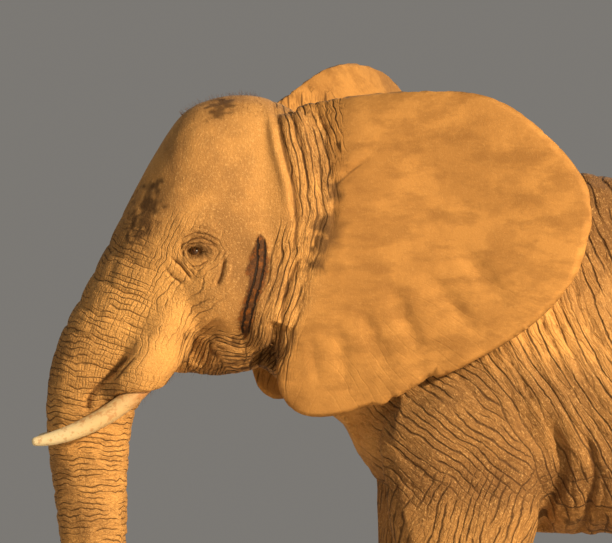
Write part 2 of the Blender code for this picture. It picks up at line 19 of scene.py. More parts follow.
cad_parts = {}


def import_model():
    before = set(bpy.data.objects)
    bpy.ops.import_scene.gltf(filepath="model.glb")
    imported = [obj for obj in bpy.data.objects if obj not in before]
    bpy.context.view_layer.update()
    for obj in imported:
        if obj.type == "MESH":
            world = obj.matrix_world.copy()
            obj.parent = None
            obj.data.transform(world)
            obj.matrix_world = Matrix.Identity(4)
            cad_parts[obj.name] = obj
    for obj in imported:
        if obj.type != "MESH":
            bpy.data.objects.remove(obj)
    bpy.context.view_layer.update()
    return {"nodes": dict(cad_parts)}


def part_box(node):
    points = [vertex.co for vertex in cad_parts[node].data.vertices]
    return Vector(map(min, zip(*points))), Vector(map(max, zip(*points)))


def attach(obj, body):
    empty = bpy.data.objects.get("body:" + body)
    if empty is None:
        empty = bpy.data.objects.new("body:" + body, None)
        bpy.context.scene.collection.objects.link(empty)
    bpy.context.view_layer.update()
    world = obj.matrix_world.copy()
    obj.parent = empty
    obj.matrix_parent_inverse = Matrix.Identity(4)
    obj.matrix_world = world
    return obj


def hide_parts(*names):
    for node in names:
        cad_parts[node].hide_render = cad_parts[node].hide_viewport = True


log = logging.getLogger("elephant")

MM = 0.001
BODY = "root"
Socket = bpy.types.NodeSocket


# ---------------------------------------------------------------------------- helpers for meshes and arrays


def new_object(work: bmesh.types.BMesh, name: str) -> bpy.types.Object:
    """Puts a working mesh in the scene as an object at the origin, and frees it.

    Args:
        work: the working mesh, with its place in its vertices.
        name: the object's and the mesh's name.

    Returns:
        The linked object.
    """
    mesh = bpy.data.meshes.new(name)
    work.to_mesh(mesh)
    work.free()
    made = bpy.data.objects.new(name, mesh)
    bpy.context.scene.collection.objects.link(made)
    return made


def discard(*objects: bpy.types.Object) -> None:
    """Removes helper objects and their meshes."""
    for each in objects:
        mesh = each.data
        bpy.data.objects.remove(each)
        if mesh.users == 0:
            bpy.data.meshes.remove(mesh)


def baked(source: bpy.types.Object) -> bpy.types.Object:
    """Applies an object's modifiers to its mesh.

    Args:
        source: an object with modifiers, which is kept.

    Returns:
        The same object, with the evaluated mesh and no modifiers.
    """
    graph = bpy.context.evaluated_depsgraph_get()
    mesh = bpy.data.meshes.new_from_object(
        source.evaluated_get(graph), preserve_all_data_layers=True, depsgraph=graph
    )
    source.modifiers.clear()
    old, source.data = source.data, mesh
    bpy.data.meshes.remove(old)
    return source


def modified(source: bpy.types.Object, kind: str, **settings: object) -> bpy.types.Object:
    """Adds one modifier with its settings and applies it."""
    modifier = source.modifiers.new(kind.lower(), kind)
    for key, value in settings.items():
        setattr(modifier, key, value)
    return baked(source)


def rows(source: bpy.types.bpy_prop_collection, name: str) -> np.ndarray:
    """One vector property of all items as an array of n rows."""
    found = np.empty(len(source) * 3, np.float32)
    source.foreach_get(name, found)
    return found.reshape(-1, 3).astype(np.float64)


def points_of(mesh: bpy.types.Mesh) -> np.ndarray:
    """The mesh's vertices."""
    return rows(mesh.vertices, "co")


def normals_of(mesh: bpy.types.Mesh) -> np.ndarray:
    """The mesh's vertex normals."""
    return rows(mesh.vertex_normals, "vector")


def set_points(mesh: bpy.types.Mesh, points: np.ndarray) -> None:
    """Moves the mesh's vertices."""
    mesh.vertices.foreach_set("co", points.astype(np.float32).ravel())
    mesh.update()


def swell(piece: bpy.types.Object, distance: float) -> None:
    """Moves a piece's surface outwards, or inwards where the distance is below 0."""
    set_points(piece.data, points_of(piece.data) + normals_of(piece.data) * distance)


def triangle_count(piece: bpy.types.Object) -> int:
    """How many triangles a piece's faces come to."""
    return sum(len(face.vertices) - 2 for face in piece.data.polygons)


def store(mesh: bpy.types.Mesh, name: str, values: np.ndarray) -> None:
    """Writes a number or a vector for each vertex as a named attribute."""
    kind, slot = ("FLOAT_VECTOR", "vector") if values.ndim == 2 else ("FLOAT", "value")
    made = mesh.attributes.new(name, kind, "POINT")
    made.data.foreach_set(slot, values.astype(np.float32).ravel())


def merged_copy(node: bpy.types.Object, name: str) -> bpy.types.Object:
    """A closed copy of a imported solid, whose own mesh is loose triangles.

    Args:
        node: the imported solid, which isn't changed.
        name: the copy's name.

    Returns:
        The copy, with its vertices merged.
    """
    work = bmesh.new()
    work.from_mesh(node.data)
    bmesh.ops.remove_doubles(work, verts=work.verts, dist=0.02 * MM)
    made = new_object(work, name)
    attributes = made.data.attributes
    if "custom_normal" in attributes:
        attributes.remove(attributes["custom_normal"])
    return made


def join_quads(piece: bpy.types.Object, skew: float) -> None:
    """Joins a faceted piece's triangles in pairs, as long as the quad isn't skewed by more than a limit."""
    work = bmesh.new()
    work.from_mesh(piece.data)
    limits = {"angle_face_threshold": 0.7, "angle_shape_threshold": skew}
    bmesh.ops.join_triangles(work, faces=work.faces, **limits)
    work.to_mesh(piece.data)
    work.free()


def joined(parts: list[bpy.types.Object], name: str) -> bpy.types.Object:
    """One object from several, which are discarded."""
    work = bmesh.new()
    for part in parts:
        work.from_mesh(part.data)
    made = new_object(work, name)
    discard(*parts)
    return made


def eased(value: np.ndarray, low: float, high: float) -> np.ndarray:
    """A smooth step from 0 at low to 1 at high, which may be the smaller."""
    t = np.clip((value - low) / (high - low), 0.0, 1.0)
    return t * t * (3.0 - 2.0 * t)


def hump(offset: np.ndarray, width: float) -> np.ndarray:
    """A soft bump: 1 at its middle, and near 0 two widths away."""
    return np.exp(-((offset / width) ** 2))


class Surface:
    """A closed mesh held as arrays, with the few operations that the hide needs.

    Each smoothing pass is followed by a push back that is a little stronger, so that the form doesn't shrink.
    """

    push_back = 1.05

    def __init__(self, owner: bpy.types.Object) -> None:
        """Reads the owner's vertices and edges."""
        mesh = owner.data
        self.owner = owner
        self.points = points_of(mesh)
        self.count = len(self.points)
        ends = np.empty(len(mesh.edges) * 2, np.int32)
        mesh.edges.foreach_get("vertices", ends)
        self.starts, self.ends = ends.reshape(-1, 2).T
        self.degree = np.maximum(np.bincount(ends, minlength=self.count), 1).astype(np.float64)

    def average(self, values: np.ndarray) -> np.ndarray:
        """The mean of each vertex's neighbours, for rows of vectors."""
        a, b = self.starts, self.ends
        total = [np.bincount(a, v[b], self.count) + np.bincount(b, v[a], self.count) for v in values.T]
        return np.stack(total, 1) / self.degree[:, None]

    def smooth(self, rounds: int, strength: float | np.ndarray) -> None:
        """Irons out the facets without losing volume.

        Args:
            rounds: how many passes.
            strength: the share of the way to the neighbours' mean, for all or for each vertex.
        """
        share = np.broadcast_to(np.asarray(strength, float), (self.count,))[:, None]
        for _ in range(rounds):
            for step in (share, -self.push_back * share):
                self.points = self.points + step * (self.average(self.points) - self.points)

    def normals(self) -> np.ndarray:
        """Outward vertex normals of the present points."""
        self.write()
        return normals_of(self.owner.data)

    def write(self) -> None:
        """Puts the points back in the mesh."""
        set_points(self.owner.data, self.points)


def tree_of(owner: bpy.types.Object) -> BVHTree:
    """A search tree over an object's faces."""
    return BVHTree.FromObject(owner, bpy.context.evaluated_depsgraph_get())


def nearest(tree: BVHTree, points: np.ndarray, reach: float) -> tuple[np.ndarray, np.ndarray]:
    """Distances and normals of the nearest spots on a surface.

    Args:
        tree: the surface's search tree.
        points: where to look from.
        reach: how far to look, which is also the distance given where nothing is nearer.

    Returns:
        The distance and the surface's normal for each point.
    """
    gaps, normals = np.full(len(points), reach), np.zeros((len(points), 3))
    for i, point in enumerate(points):
        _, normal, _, gap = tree.find_nearest(point, reach)
        if gap is not None:
            gaps[i], normals[i] = gap, normal
    return gaps, normals


# ---------------------------------------------------------------------------- where things are on the animal


def knot_numbers(knots: np.ndarray, salt: int) -> np.ndarray:
    """A 32-bit number for each row of whole coordinates, told apart by large primes."""
    a, b, c = knots.astype(np.int64).astype(np.uint32).T
    mix = a * np.uint32(73856093) ^ b * np.uint32(19349663) ^ c * np.uint32(83492791)
    return mix ^ np.uint32(salt % 2**32)


def stirred(mix: np.ndarray) -> np.ndarray:
    """The next number in each row's random series."""
    mix = (mix ^ (mix >> np.uint32(13))) * np.uint32(1274126177)
    return mix ^ (mix >> np.uint32(16))


def value_noise(places: np.ndarray, seed: int) -> np.ndarray:
    """Smooth random numbers from -1 to 1 over space, one knot to each unit.

    Args:
        places: n rows of three coordinates.
        seed: picks the pattern.

    Returns:
        A number for each row.
    """
    base = np.floor(places)
    t = places - base
    t = t * t * t * (t * (t * 6.0 - 15.0) + 10.0)
    total = np.zeros(len(places))
    for corner in product((0, 1), repeat=3):
        share = np.where(corner, t, 1.0 - t).prod(1)
        mix = stirred(knot_numbers(base + corner, seed * 2654435761))
        total += share * (mix & np.uint32(0xFFFFFF)).astype(np.float64)
    return total / 0x7FFFFF - 1.0


def cell_gap(places: np.ndarray, seed: int) -> np.ndarray:
    """How far a place is from the cracks between random cells one unit wide: 0 on a crack."""
    base = np.floor(places)
    first, second = np.full((2, len(places)), 9.0)
    for offset in product((-1, 0, 1), repeat=3):
        cell = base + offset
        mix = knot_numbers(cell, seed * 97 + 13)
        gap = np.zeros(len(places))
        for axis in range(3):
            mix = stirred(mix)
            spot = cell[:, axis] + (mix & np.uint32(0xFFFF)).astype(np.float64) / 0xFFFF
            gap += (spot - places[:, axis]) ** 2
        gap = np.sqrt(gap)
        second = np.minimum(second, np.maximum(first, gap))
        first = np.minimum(first, gap)
    return second - first


def line_gap(back: np.ndarray, up: np.ndarray, line: tuple[tuple[float, float], ...]) -> tuple:
    """Distance to a broken line, the share of the way along it, and the side of it.

    Args:
        back: how far behind the eye each place is.
        up: how far above the eye.
        line: the line's corners as (back, up).

    Returns:
        For each place the distance, the share along, from 0 to 1, and 1 to the right of the line's way or
        -1 to its left.
    """
    corners = np.array(line)
    spans = np.diff(corners, axis=0)
    lengths = np.hypot(spans[:, 0], spans[:, 1])
    reached = np.concatenate([[0.0], np.cumsum(lengths)])
    best, along, side = np.full(len(back), 1e9), np.zeros(len(back)), np.ones(len(back))
    for (b, u), (db, du), length, start in zip(corners[:-1], spans, lengths, reached):
        t = np.clip(((back - b) * db + (up - u) * du) / length**2, 0, 1)
        gap = np.hypot(back - b - t * db, up - u - t * du)
        nearer = gap < best
        best[nearer] = gap[nearer]
        along[nearer] = (start + t * length)[nearer]
        side[nearer] = np.sign((back - b) * du - (up - u) * db)[nearer]
    return best, along / reached[-1], side


@dataclass(frozen=True)
class Landmarks:
    """Places on the animal, in metres behind (back) and above (up) the eye's centre, seen from its side."""

    eye: Vector
    midline: float
    trunk_axis: tuple = (
        (0.02, 0.53), (-0.13, 0.17), (-0.28, -0.18), (-0.36, -0.40), (-0.395, -0.62),
        (-0.405, -0.90), (-0.395, -1.30), (-0.385, -1.69), (-0.36, -1.95), (-0.32, -2.10),
    )
    nape_line: tuple = (
        (0.33, 0.70), (0.34, 0.57), (0.396, 0.343), (0.423, 0.136), (0.389, 0.004),
        (0.340, -0.185), (0.302, -0.317), (0.27, -0.49),
    )
    gland: tuple = (
        (0.250, 0.075), (0.252, 0.028), (0.250, -0.048), (0.234, -0.124), (0.217, -0.174), (0.204, -0.225),
        (0.194, -0.275), (0.186, -0.345),
    )
    mouth: tuple = ((-0.06, -0.475), (0.00, -0.31), (0.07, -0.275), (0.16, -0.30))


class Places:
    """Where each vertex lies, in the terms that the folds are laid out in.

    The trunk's axis is looked up as far back as the head reaches. Its corners are rounded over a number of
    steps, and its two ends run on straight beyond the last ones.
    """

    head_depth = 0.75
    axis_steps = 90
    axis_rounding = 17
    beyond = 9

    def __init__(self, points: np.ndarray, marks: Landmarks, fan: np.ndarray) -> None:
        """Works out the coordinates.

        Args:
            points: n rows of x, y and z.
            marks: the animal's landmarks.
            fan: 1 on the ears' fans, 0 on the body.
        """
        self.points = points
        self.marks = marks
        self.fan = fan
        self.on_body = fan < 0.5
        self.x, self.y, self.z = points.T
        self.side = np.abs(self.x - marks.midline)
        self.back = self.y - marks.eye.y
        self.up = self.z - marks.eye.z
        self.left = self.x > marks.midline
        self.along_trunk, self.off_trunk, self.front = self.trunk_reach()
        line = np.array(marks.nape_line)[::-1]
        self.from_nape = self.back - np.interp(self.up, line[:, 1], line[:, 0])

    def trunk_reach(self) -> tuple[np.ndarray, np.ndarray, np.ndarray]:
        """Length along the trunk's axis, distance from it, and the signed distance to its front."""
        knots = np.array(self.marks.trunk_axis)
        reached = np.concatenate([[0.0], np.cumsum(np.hypot(*np.diff(knots, axis=0).T))])
        fine = np.linspace(0, reached[-1], self.axis_steps)
        kernel = np.hanning(self.axis_rounding) / np.hanning(self.axis_rounding).sum()
        broken = (np.interp(fine, reached, column) for column in knots.T)
        longer = (np.pad(line, self.axis_rounding // 2, "reflect", reflect_type="odd") for line in broken)
        back, up = (np.convolve(line, kernel, "valid") for line in longer)
        near = np.nonzero(self.back < self.head_depth)[0]
        best = np.full((3, len(near)), 1e9)
        last = len(fine) - 2
        for k in range(last + 1):
            b, u = self.back[near] - back[k], self.up[near] - up[k]
            db, du = back[k + 1] - back[k], up[k + 1] - up[k]
            length = math.hypot(db, du)
            t = (b * db + u * du) / length**2
            t = np.clip(t, 0 if k else -self.beyond, 1 if k < last else self.beyond)
            gap = np.hypot(b - t * db, u - t * du)
            found = np.stack([gap, fine[k] + t * length, (b * du - u * db) / length])
            best = np.where(gap < best[0], found, best)
        whole = np.zeros((3, len(self.points)))
        whole[0] = 1e9
        whole[:, near] = best
        gap, along, front = whole
        return along, np.hypot(gap, self.side), front


# ---------------------------------------------------------------------------- modelling strokes


class Tool(Enum):
    """What a modelling stroke does across its line."""

    ROUND = "a rounded ridge or groove"
    STEP = "a step on the right of the line, which dies away from it"
    BEND = "a bend of the thin ear, which moves both its faces the same way"


@dataclass(frozen=True)
class Stroke:
    """One ridge, groove or step pressed into the form along a line seen from the side.

    The line's corners are (back, up) in metres from the eye. A height below zero is a groove.
    """

    line: tuple[tuple[float, float], ...]
    height: float
    width: float
    tool: Tool = Tool.ROUND
    fade: float = 0.25
    on_ear: bool = False
    least_side: float = 0.10

    def near(self, at: Places) -> np.ndarray:
        """The places that the stroke can reach."""
        reach = 4 * self.width
        low, high = np.min(self.line, axis=0) - reach, np.max(self.line, axis=0) + reach
        near = (at.back > low[0]) & (at.back < high[0]) & (at.up > low[1]) & (at.up < high[1])
        kind = at.fan > 0.5 if self.tool is Tool.BEND else at.on_body | self.on_ear
        return near & kind & (at.side > self.least_side)

    def lift(self, at: Places) -> tuple[np.ndarray, np.ndarray]:
        """How far each place rises, and how much painted shade it gets in a fine groove."""
        near = self.near(at)
        rise, dark = np.zeros(len(at.back)), np.zeros(len(at.back))
        gap, along, side = line_gap(at.back[near], at.up[near], self.line)
        ends = eased(along, 0.0, self.fade) * eased(along, 1.0, 1.0 - self.fade) if self.fade else 1.0
        shape = hump(gap, self.width)
        if self.tool is Tool.STEP:
            shape = np.where(side > 0, shape, hump(gap, 3 * MM))
        rise[near] = self.height * shape * ends
        # A fine deep groove is also painted dark: painted shade in the groove.
        fine_groove = self.height < -3 * MM and self.width < 17 * MM
        if fine_groove and self.tool is Tool.ROUND:
            dark[near] = hump(gap, 0.6 * self.width + 2 * MM) * ends * min(1.0, -self.height / (5 * MM))
        return rise, dark


# The shoulder is hollow where the ear's lower edge lies over it.
UNDER_EAR = Stroke(((0.62, -0.60), (0.78, -0.52), (0.93, -0.42), (1.04, -0.30)), -52 * MM, 0.10, fade=0)

# The left ear's lower edge, as one smooth curve.
EAR_EDGE = ((0.66, -0.588), (0.704, -0.580), (0.743, -0.558), (0.834, -0.506), (0.931, -0.447), (1.0, -0.414))

LIP_EDGE = ((-0.075, -0.470), (-0.030, -0.430), (0.004, -0.317), (0.068, -0.260), (0.10, -0.235))
ABOVE_SHEATH = ((-0.245, -0.372), (-0.30, -0.430), (-0.36, -0.495), (-0.405, -0.555), (-0.42, -0.62))

STROKES = (
    # The lip hangs over the jaw like a flap, with a thick rim.
    Stroke(LIP_EDGE, -24 * MM, 0.060, Tool.STEP, fade=0.40),
    Stroke(tuple((b - 0.014, u + 0.010) for b, u in LIP_EDGE), 6 * MM, 0.013),
    # The swelling round the tusk's root is parted from the trunk by a deep groove.
    Stroke(ABOVE_SHEATH, -20 * MM, 0.012, fade=0.15),
    Stroke(((-0.14, -0.30), (-0.22, -0.44), (-0.30, -0.53)), 7 * MM, 0.05),
    Stroke(((-0.205, -0.375), (-0.26, -0.435), (-0.33, -0.51)), -5 * MM, 0.005),
    # The gland: a swelling that its two grooves run down.
    Stroke(((0.235, 0.08), (0.225, -0.05), (0.21, -0.20)), 8 * MM, 0.040),
    # The temple sinks in behind the brow, and the brow stands over the eye.
    Stroke(((0.12, 0.46), (0.15, 0.38)), -8 * MM, 0.09, fade=0),
    Stroke(((-0.14, 0.30), (-0.20, 0.12)), -9 * MM, 0.045),
    Stroke(((-0.10, 0.12), (0.0, 0.085), (0.11, 0.075)), 6 * MM, 0.030),
    Stroke(((0.05, 0.00), (0.10, 0.012)), 5 * MM, 0.03, fade=0),
    # The bag under the eye, and the creases that run down from the eye's corners to the cheek.
    Stroke(((-0.02, -0.05), (0.03, -0.07)), 6 * MM, 0.035, fade=0),
    Stroke(((0.112, -0.020), (0.106, -0.050), (0.096, -0.095), (0.078, -0.135)), -11 * MM, 0.007, fade=0.15),
    Stroke(((0.130, -0.015), (0.125, -0.075), (0.105, -0.130)), 5 * MM, 0.012),
    Stroke(((-0.100, -0.020), (-0.053, -0.053), (-0.025, -0.090), (-0.004, -0.115)), -9 * MM, 0.007),
    Stroke(((-0.125, -0.045), (-0.085, -0.095), (-0.030, -0.135)), -5 * MM, 0.007),
    Stroke(((-0.034, -0.040), (-0.011, -0.056), (0.020, -0.053), (0.064, -0.023)), -5 * MM, 0.005),
    Stroke(((-0.018, -0.055), (-0.006, -0.085), (-0.004, -0.110)), -4 * MM, 0.005),
    Stroke(((0.018, -0.058), (0.010, -0.085), (0.000, -0.108)), -4 * MM, 0.005),
    # The heavy upper lid: folds that spring from the eye's front and meet behind it.
    Stroke(((-0.046, -0.035), (-0.048, -0.004), (-0.022, 0.023), (0.019, 0.033), (0.064, 0.026),
            (0.102, 0.008)), -8 * MM, 0.006, fade=0.15),
    Stroke(((-0.058, -0.019), (-0.050, 0.026), (-0.011, 0.048), (0.030, 0.051), (0.072, 0.032),
            (0.106, 0.011)), -6 * MM, 0.005, fade=0.2),
    Stroke(((-0.064, 0.011), (-0.045, 0.052), (0.0, 0.072), (0.049, 0.066), (0.087, 0.040), (0.117, 0.013)),
           -5 * MM, 0.005),
    Stroke(((-0.060, 0.060), (0.0, 0.094), (0.049, 0.086), (0.102, 0.052)), -4 * MM, 0.005),
    # The neck's light ridge behind the temple, and the ear's rough root.
    Stroke(((0.262, 0.60), (0.306, 0.377), (0.343, 0.249), (0.36, 0.10)), 9 * MM, 0.018),
    Stroke(((0.285, 0.60), (0.334, 0.377), (0.371, 0.249), (0.385, 0.10), (0.35, -0.14)), -11 * MM, 0.013),
    Stroke(((0.345, 0.60), (0.400, 0.42), (0.430, 0.26), (0.44, 0.12)), -9 * MM, 0.012, on_ear=True),
    Stroke(((0.44, 0.02), (0.385, -0.05), (0.345, -0.14), (0.33, -0.25), (0.335, -0.34)), -13 * MM, 0.013,
           on_ear=True),
    Stroke(((0.69, 0.37), (0.60, 0.31), (0.53, 0.25), (0.52, 0.14), (0.52, 0.04)), -9 * MM, 0.012,
           on_ear=True),
    Stroke(((0.66, 0.40), (0.56, 0.33), (0.49, 0.25), (0.485, 0.14)), 8 * MM, 0.020, on_ear=True),
    # Behind the jaw the neck is hollow, where the ear's front edge hangs free.
    Stroke(((0.325, -0.27), (0.295, -0.35), (0.265, -0.42), (0.260, -0.48)), -55 * MM, 0.034, fade=0.12),
    # The ear's lower half hangs in soft waves.
    Stroke(((0.96, 0.05), (1.06, -0.07), (1.20, -0.22)), -14 * MM, 0.030, Tool.BEND, fade=0.5),
    Stroke(((0.83, -0.04), (0.94, -0.17), (1.10, -0.34)), -14 * MM, 0.030, Tool.BEND, fade=0.5),
    Stroke(((0.71, -0.08), (0.785, -0.24), (0.88, -0.42)), -14 * MM, 0.028, Tool.BEND, fade=0.5),
    Stroke(((0.60, -0.16), (0.675, -0.33), (0.75, -0.50)), -13 * MM, 0.026, Tool.BEND, fade=0.5),
    Stroke(((0.53, -0.24), (0.555, -0.40), (0.59, -0.56)), -9 * MM, 0.022, Tool.BEND, fade=0.5),
    Stroke(((0.43, -0.28), (0.45, -0.42), (0.48, -0.56)), -7 * MM, 0.020, Tool.BEND, fade=0.5),
    # The leg's top is parted from the belly by the elbow's deep crease.
    Stroke(((1.30, -0.55), (1.370, -0.732), (1.377, -0.853), (1.328, -0.958), (1.313, -1.098), (1.31, -1.25)),
           -30 * MM, 0.022),
    Stroke(((1.40, -0.60), (1.44, -0.80), (1.42, -1.00), (1.40, -1.15)), 12 * MM, 0.035),
    Stroke(((1.46, -0.62), (1.50, -0.85), (1.47, -1.05), (1.45, -1.18)), -18 * MM, 0.015),
    Stroke(((1.17, -0.98), (1.24, -1.00)), 12 * MM, 0.07, fade=0),
)


@dataclass(frozen=True)
class EyeSocket:
    """Lids, brow and bag round one eye, pressed into the hide over the ball.

    Sizes are in metres. The opening is measured back and up from the ball's centre, and each fold of the lids
    by its distance from the opening and its depth.
    """

    marks: Landmarks
    left: bool
    ball: float = 21.5 * MM
    ball_side: float = 0.270
    least_side: float = 0.2
    front: float = -26 * MM
    rear: float = 30 * MM
    top: float = 17 * MM
    bottom: float = 16 * MM
    rim: float = 6 * MM
    reach: float = 60 * MM
    skin_reach: float = 34 * MM
    lid_folds: tuple = ((6 * MM, 2.4 * MM), (26 * MM, 1.2 * MM))
    fold_width: float = 2.8 * MM

    def edges(self, back: np.ndarray) -> tuple[np.ndarray, np.ndarray]:
        """Heights of the lower and the upper lid's margin at a distance behind the centre."""
        middle, half = (self.front + self.rear) / 2, (self.rear - self.front) / 2
        shape = np.clip(1 - ((back - middle) / half) ** 2, 0, None)
        droop = -0.10 * (back - middle)
        return -self.bottom * shape**0.7 + droop, self.top * shape**0.8 + droop

    def skin_plane(self, r: np.ndarray, back: np.ndarray, up: np.ndarray, side: np.ndarray) -> np.ndarray:
        """The flat that the skin round the socket lies on."""
        ring = (r > 0.8 * self.reach) & (r < 1.2 * self.reach)
        terms = np.stack([np.ones(len(r)), back, up], 1)
        fit = np.linalg.lstsq(terms[ring], side[ring], rcond=None)[0]
        return fit[0] + fit[1] * back + fit[2] * up

    def press(self, at: Places) -> np.ndarray:
        """Moves the hide's points to the lids' shape.

        Args:
            at: the hide's places.

        Returns:
            The new points.
        """
        points = at.points.copy()
        r = np.hypot(at.back, at.up)
        near = (r < 1.2 * self.reach) & (at.left == self.left) & (at.side > self.least_side)
        back, up, side, r = at.back[near], at.up[near], at.side[near], r[near]
        low, high = self.edges(back)
        gap = np.maximum(np.maximum(low - up, up - high), np.maximum(self.front - back, back - self.rear))
        ball = self.ball_side + np.sqrt(np.clip(self.ball**2 - r**2, 0, None))
        within = np.maximum(ball - 1.5 * MM, self.ball_side + 13 * MM)
        lid = self.ball_side + self.ball + self.rim * eased(gap, -1 * MM, 3 * MM)
        lid = lid + (self.skin_plane(r, back, up, side) - lid) * eased(gap, 0.0, self.skin_reach)
        lid += 10 * MM * hump(up - 32 * MM, 13 * MM) * eased(r, 0.075, 0.03)
        lid += 6 * MM * hump(up + 34 * MM, 12 * MM) * eased(r, 0.07, 0.03)
        for offset, depth in self.lid_folds:
            lid -= depth * hump(gap - offset, self.fold_width)
        target = np.where(gap < 0, within, lid)
        out = side + (target - side) * eased(r, 1.15 * self.reach, 0.72 * self.reach)
        points[near, 0] = self.marks.midline + out * (1 if self.left else -1)
        return points


# ---------------------------------------------------------------------------- folds


class Crease(Enum):
    """How a family of folds is laid out."""

    WANDERING = "lines that meet and part"
    REGULAR = "rings or pleats at an even spacing"
    NET = "cells with cracks between them"


@dataclass(frozen=True)
class Folds:
    """Folds of one size and one lie."""

    spacing: float
    depth: float
    run: float = 5.0
    width: float = 0.25
    wander: float = 0.35
    kind: Crease = Crease.WANDERING
    lengthwise: bool = False
    seed: int = 1

    def cut(self, flow: np.ndarray) -> np.ndarray:
        """How deep into a crease each place is.

        Args:
            flow: n rows with the distance across the folds and two distances along them.

        Returns:
            1 in a crease's bottom and near 0 on the cushions between.
        """
        wide, long = self.spacing, self.spacing * self.run
        scale = np.array([long, wide, wide] if self.lengthwise else [wide, long, long])
        if self.kind is Crease.NET:
            scale = np.array([wide, long, wide])
            drift = value_noise(flow / (self.spacing * 2.2), self.seed + 3)[:, None]
            return np.exp(-cell_gap(flow / scale + 0.3 * drift, self.seed) / self.width)
        spread = flow / scale
        drift = value_noise(flow / (self.spacing * 3.0), self.seed + 5)
        drift += 0.4 * value_noise(flow / (self.spacing * 1.1), self.seed + 9)
        spread[:, 1 if self.lengthwise else 0] += self.wander * drift
        if self.kind is Crease.REGULAR:
            phase = spread[:, 0] - np.floor(spread[:, 0])
            off = np.minimum(phase, 1.0 - phase)
            strength = 0.62 + 0.38 * value_noise(flow / scale * [0.9, 1.4, 1.4], self.seed + 11)
            return np.exp(-off / (self.width * 0.5)) * strength
        rise = value_noise(spread, self.seed) + 0.3 * value_noise(spread * 2.07, self.seed + 2)
        return np.exp(-np.abs(rise) / self.width)


@dataclass(frozen=True)
class Region:
    """A stretch of hide whose folds share one lie."""

    layer: int
    flow: Callable[[Places], np.ndarray]
    reach: Callable[[Places], np.ndarray]
    folds: tuple[Folds, ...]
    unit: float = 28 * MM
    # stain: how dark the folds' creases are painted, as painted shade.
    stain: float = 1.0
    lined: float = 1.0
    line: float = 6.5 * MM
    lengthwise: bool = False
    line_flow: Callable[[Places], np.ndarray] | None = None

    def carve(self, at: Places) -> tuple[np.ndarray, np.ndarray, np.ndarray, np.ndarray]:
        """The region's folds at each place.

        Args:
            at: the places.

        Returns:
            Depth in metres, painted crease shade from 0 to 1, the flow coordinates and the region's weight.
        """
        weight = np.clip(self.reach(at), 0, 1)
        flow = self.flow(at)
        depth, crease = np.zeros(len(weight)), np.zeros(len(weight))
        inside = np.nonzero(weight > 0.01)[0]
        deepest = max(f.depth for f in self.folds)
        for f in self.folds:
            cut = f.cut(flow[inside]) * weight[inside]
            depth[inside] += f.depth * cut
            crease[inside] = np.maximum(crease[inside], cut * min(1.0, 0.35 + f.depth / deepest))
        if self.line_flow:
            flow = self.line_flow(at)
        if self.lengthwise:
            flow = flow[:, [1, 0, 2]]
        return depth, crease * self.stain, flow / self.unit, weight


def stacked(*columns: np.ndarray) -> np.ndarray:
    """Columns side by side."""
    return np.stack(columns, 1)


def spot(at: Places, back: float, up: float, wide: float, high: float) -> np.ndarray:
    """A soft oval patch on the body, 1 at its middle."""
    return np.exp(-((at.back - back) / wide) ** 2 - ((at.up - up) / high) ** 2) * at.on_body


def trunk_flow(at: Places) -> np.ndarray:
    """Across the trunk's rings, then round it. The rings close up towards the tip."""
    s = at.along_trunk
    knots = np.array([0.0, 0.35, 0.85, 1.15, 1.6, 2.2, 2.8])
    close = np.array([0.8, 0.85, 0.95, 1.3, 1.9, 2.3, 2.6])
    grown = np.concatenate([[0.0], np.cumsum(np.diff(knots) * (close[1:] + close[:-1]) / 2)])
    return stacked(np.interp(s, knots, grown), 0.22 * np.arctan2(at.side, at.front), at.x)


def ring_flow(at: Places) -> np.ndarray:
    """Across the trunk's rings at an even spacing, then round it."""
    return stacked(at.along_trunk, 0.22 * np.arctan2(at.side, at.front), at.x)


def trunk_reach(at: Places) -> np.ndarray:
    """The face below the eyes, and all of the trunk."""
    lip = spot(at, -0.14, -0.42, 0.14, 0.12)
    face = eased(at.back, -0.10, -0.24) * eased(at.up, 0.22, 0.02) * (1 - 0.9 * lip)
    low = eased(at.up, -0.50, -0.58) * (at.off_trunk < 0.45)
    return np.maximum(face, low) * (at.off_trunk < 0.55) * at.on_body


def face_reach(at: Places) -> np.ndarray:
    """The side of the face, down to the lip."""
    side = eased(at.back, 0.20, 0.02) * eased(at.up, 0.20, 0.05) * eased(at.up, -0.62, -0.50)
    eye, lip = spot(at, 0.02, -0.01, 0.085, 0.075), spot(at, -0.11, -0.42, 0.14, 0.11)
    return side * (at.off_trunk < 0.6) * at.on_body * (1 - 0.9 * eye) * (1 - 0.5 * lip)


def nape_flow(at: Places) -> np.ndarray:
    """Across the pleats in front of the ear."""
    return stacked(at.from_nape, at.z, at.x)


def nape_reach(at: Places) -> np.ndarray:
    """The pleats between the temple and the ear's fan."""
    front = np.interp(at.up, [0.05, 0.20], [-0.14, -0.085])
    rear = np.interp(at.up, [-0.35, 0.1, 0.35, 0.57], [0.09, 0.10, 0.17, 0.22])
    across = eased(at.from_nape, front, front + 0.065) * (1 - eased(at.from_nape - rear, -0.06, 0.03))
    return across * eased(at.up, 0.66, 0.58) * eased(at.up, -0.62, -0.40)


def eye_flow(at: Places) -> np.ndarray:
    """Outwards from the eye, longer behind it and below it."""
    back = np.abs(at.back - 0.012) / np.where(at.back > 0.012, 1.45, 1.15)
    up = np.abs(at.up) / np.where(at.up > 0, 1.0, 1.35)
    power = np.where(at.up > 0, 1.6, 1.3)
    return stacked((back**power + up**power) ** (1 / power), at.y, at.z)


def eye_reach(at: Places) -> np.ndarray:
    """The lids and the folds round them."""
    r = eye_flow(at)[:, 0]
    return eased(r, 0.105, 0.06) * eased(r, 0.018, 0.03) * (at.side > 0.15) * at.on_body


def jaw_flow(at: Places) -> np.ndarray:
    """Across the folds that fan out from the corner of the mouth."""
    gap = line_gap(at.back, at.up, at.marks.mouth)[0]
    return stacked(gap, at.y, at.x)


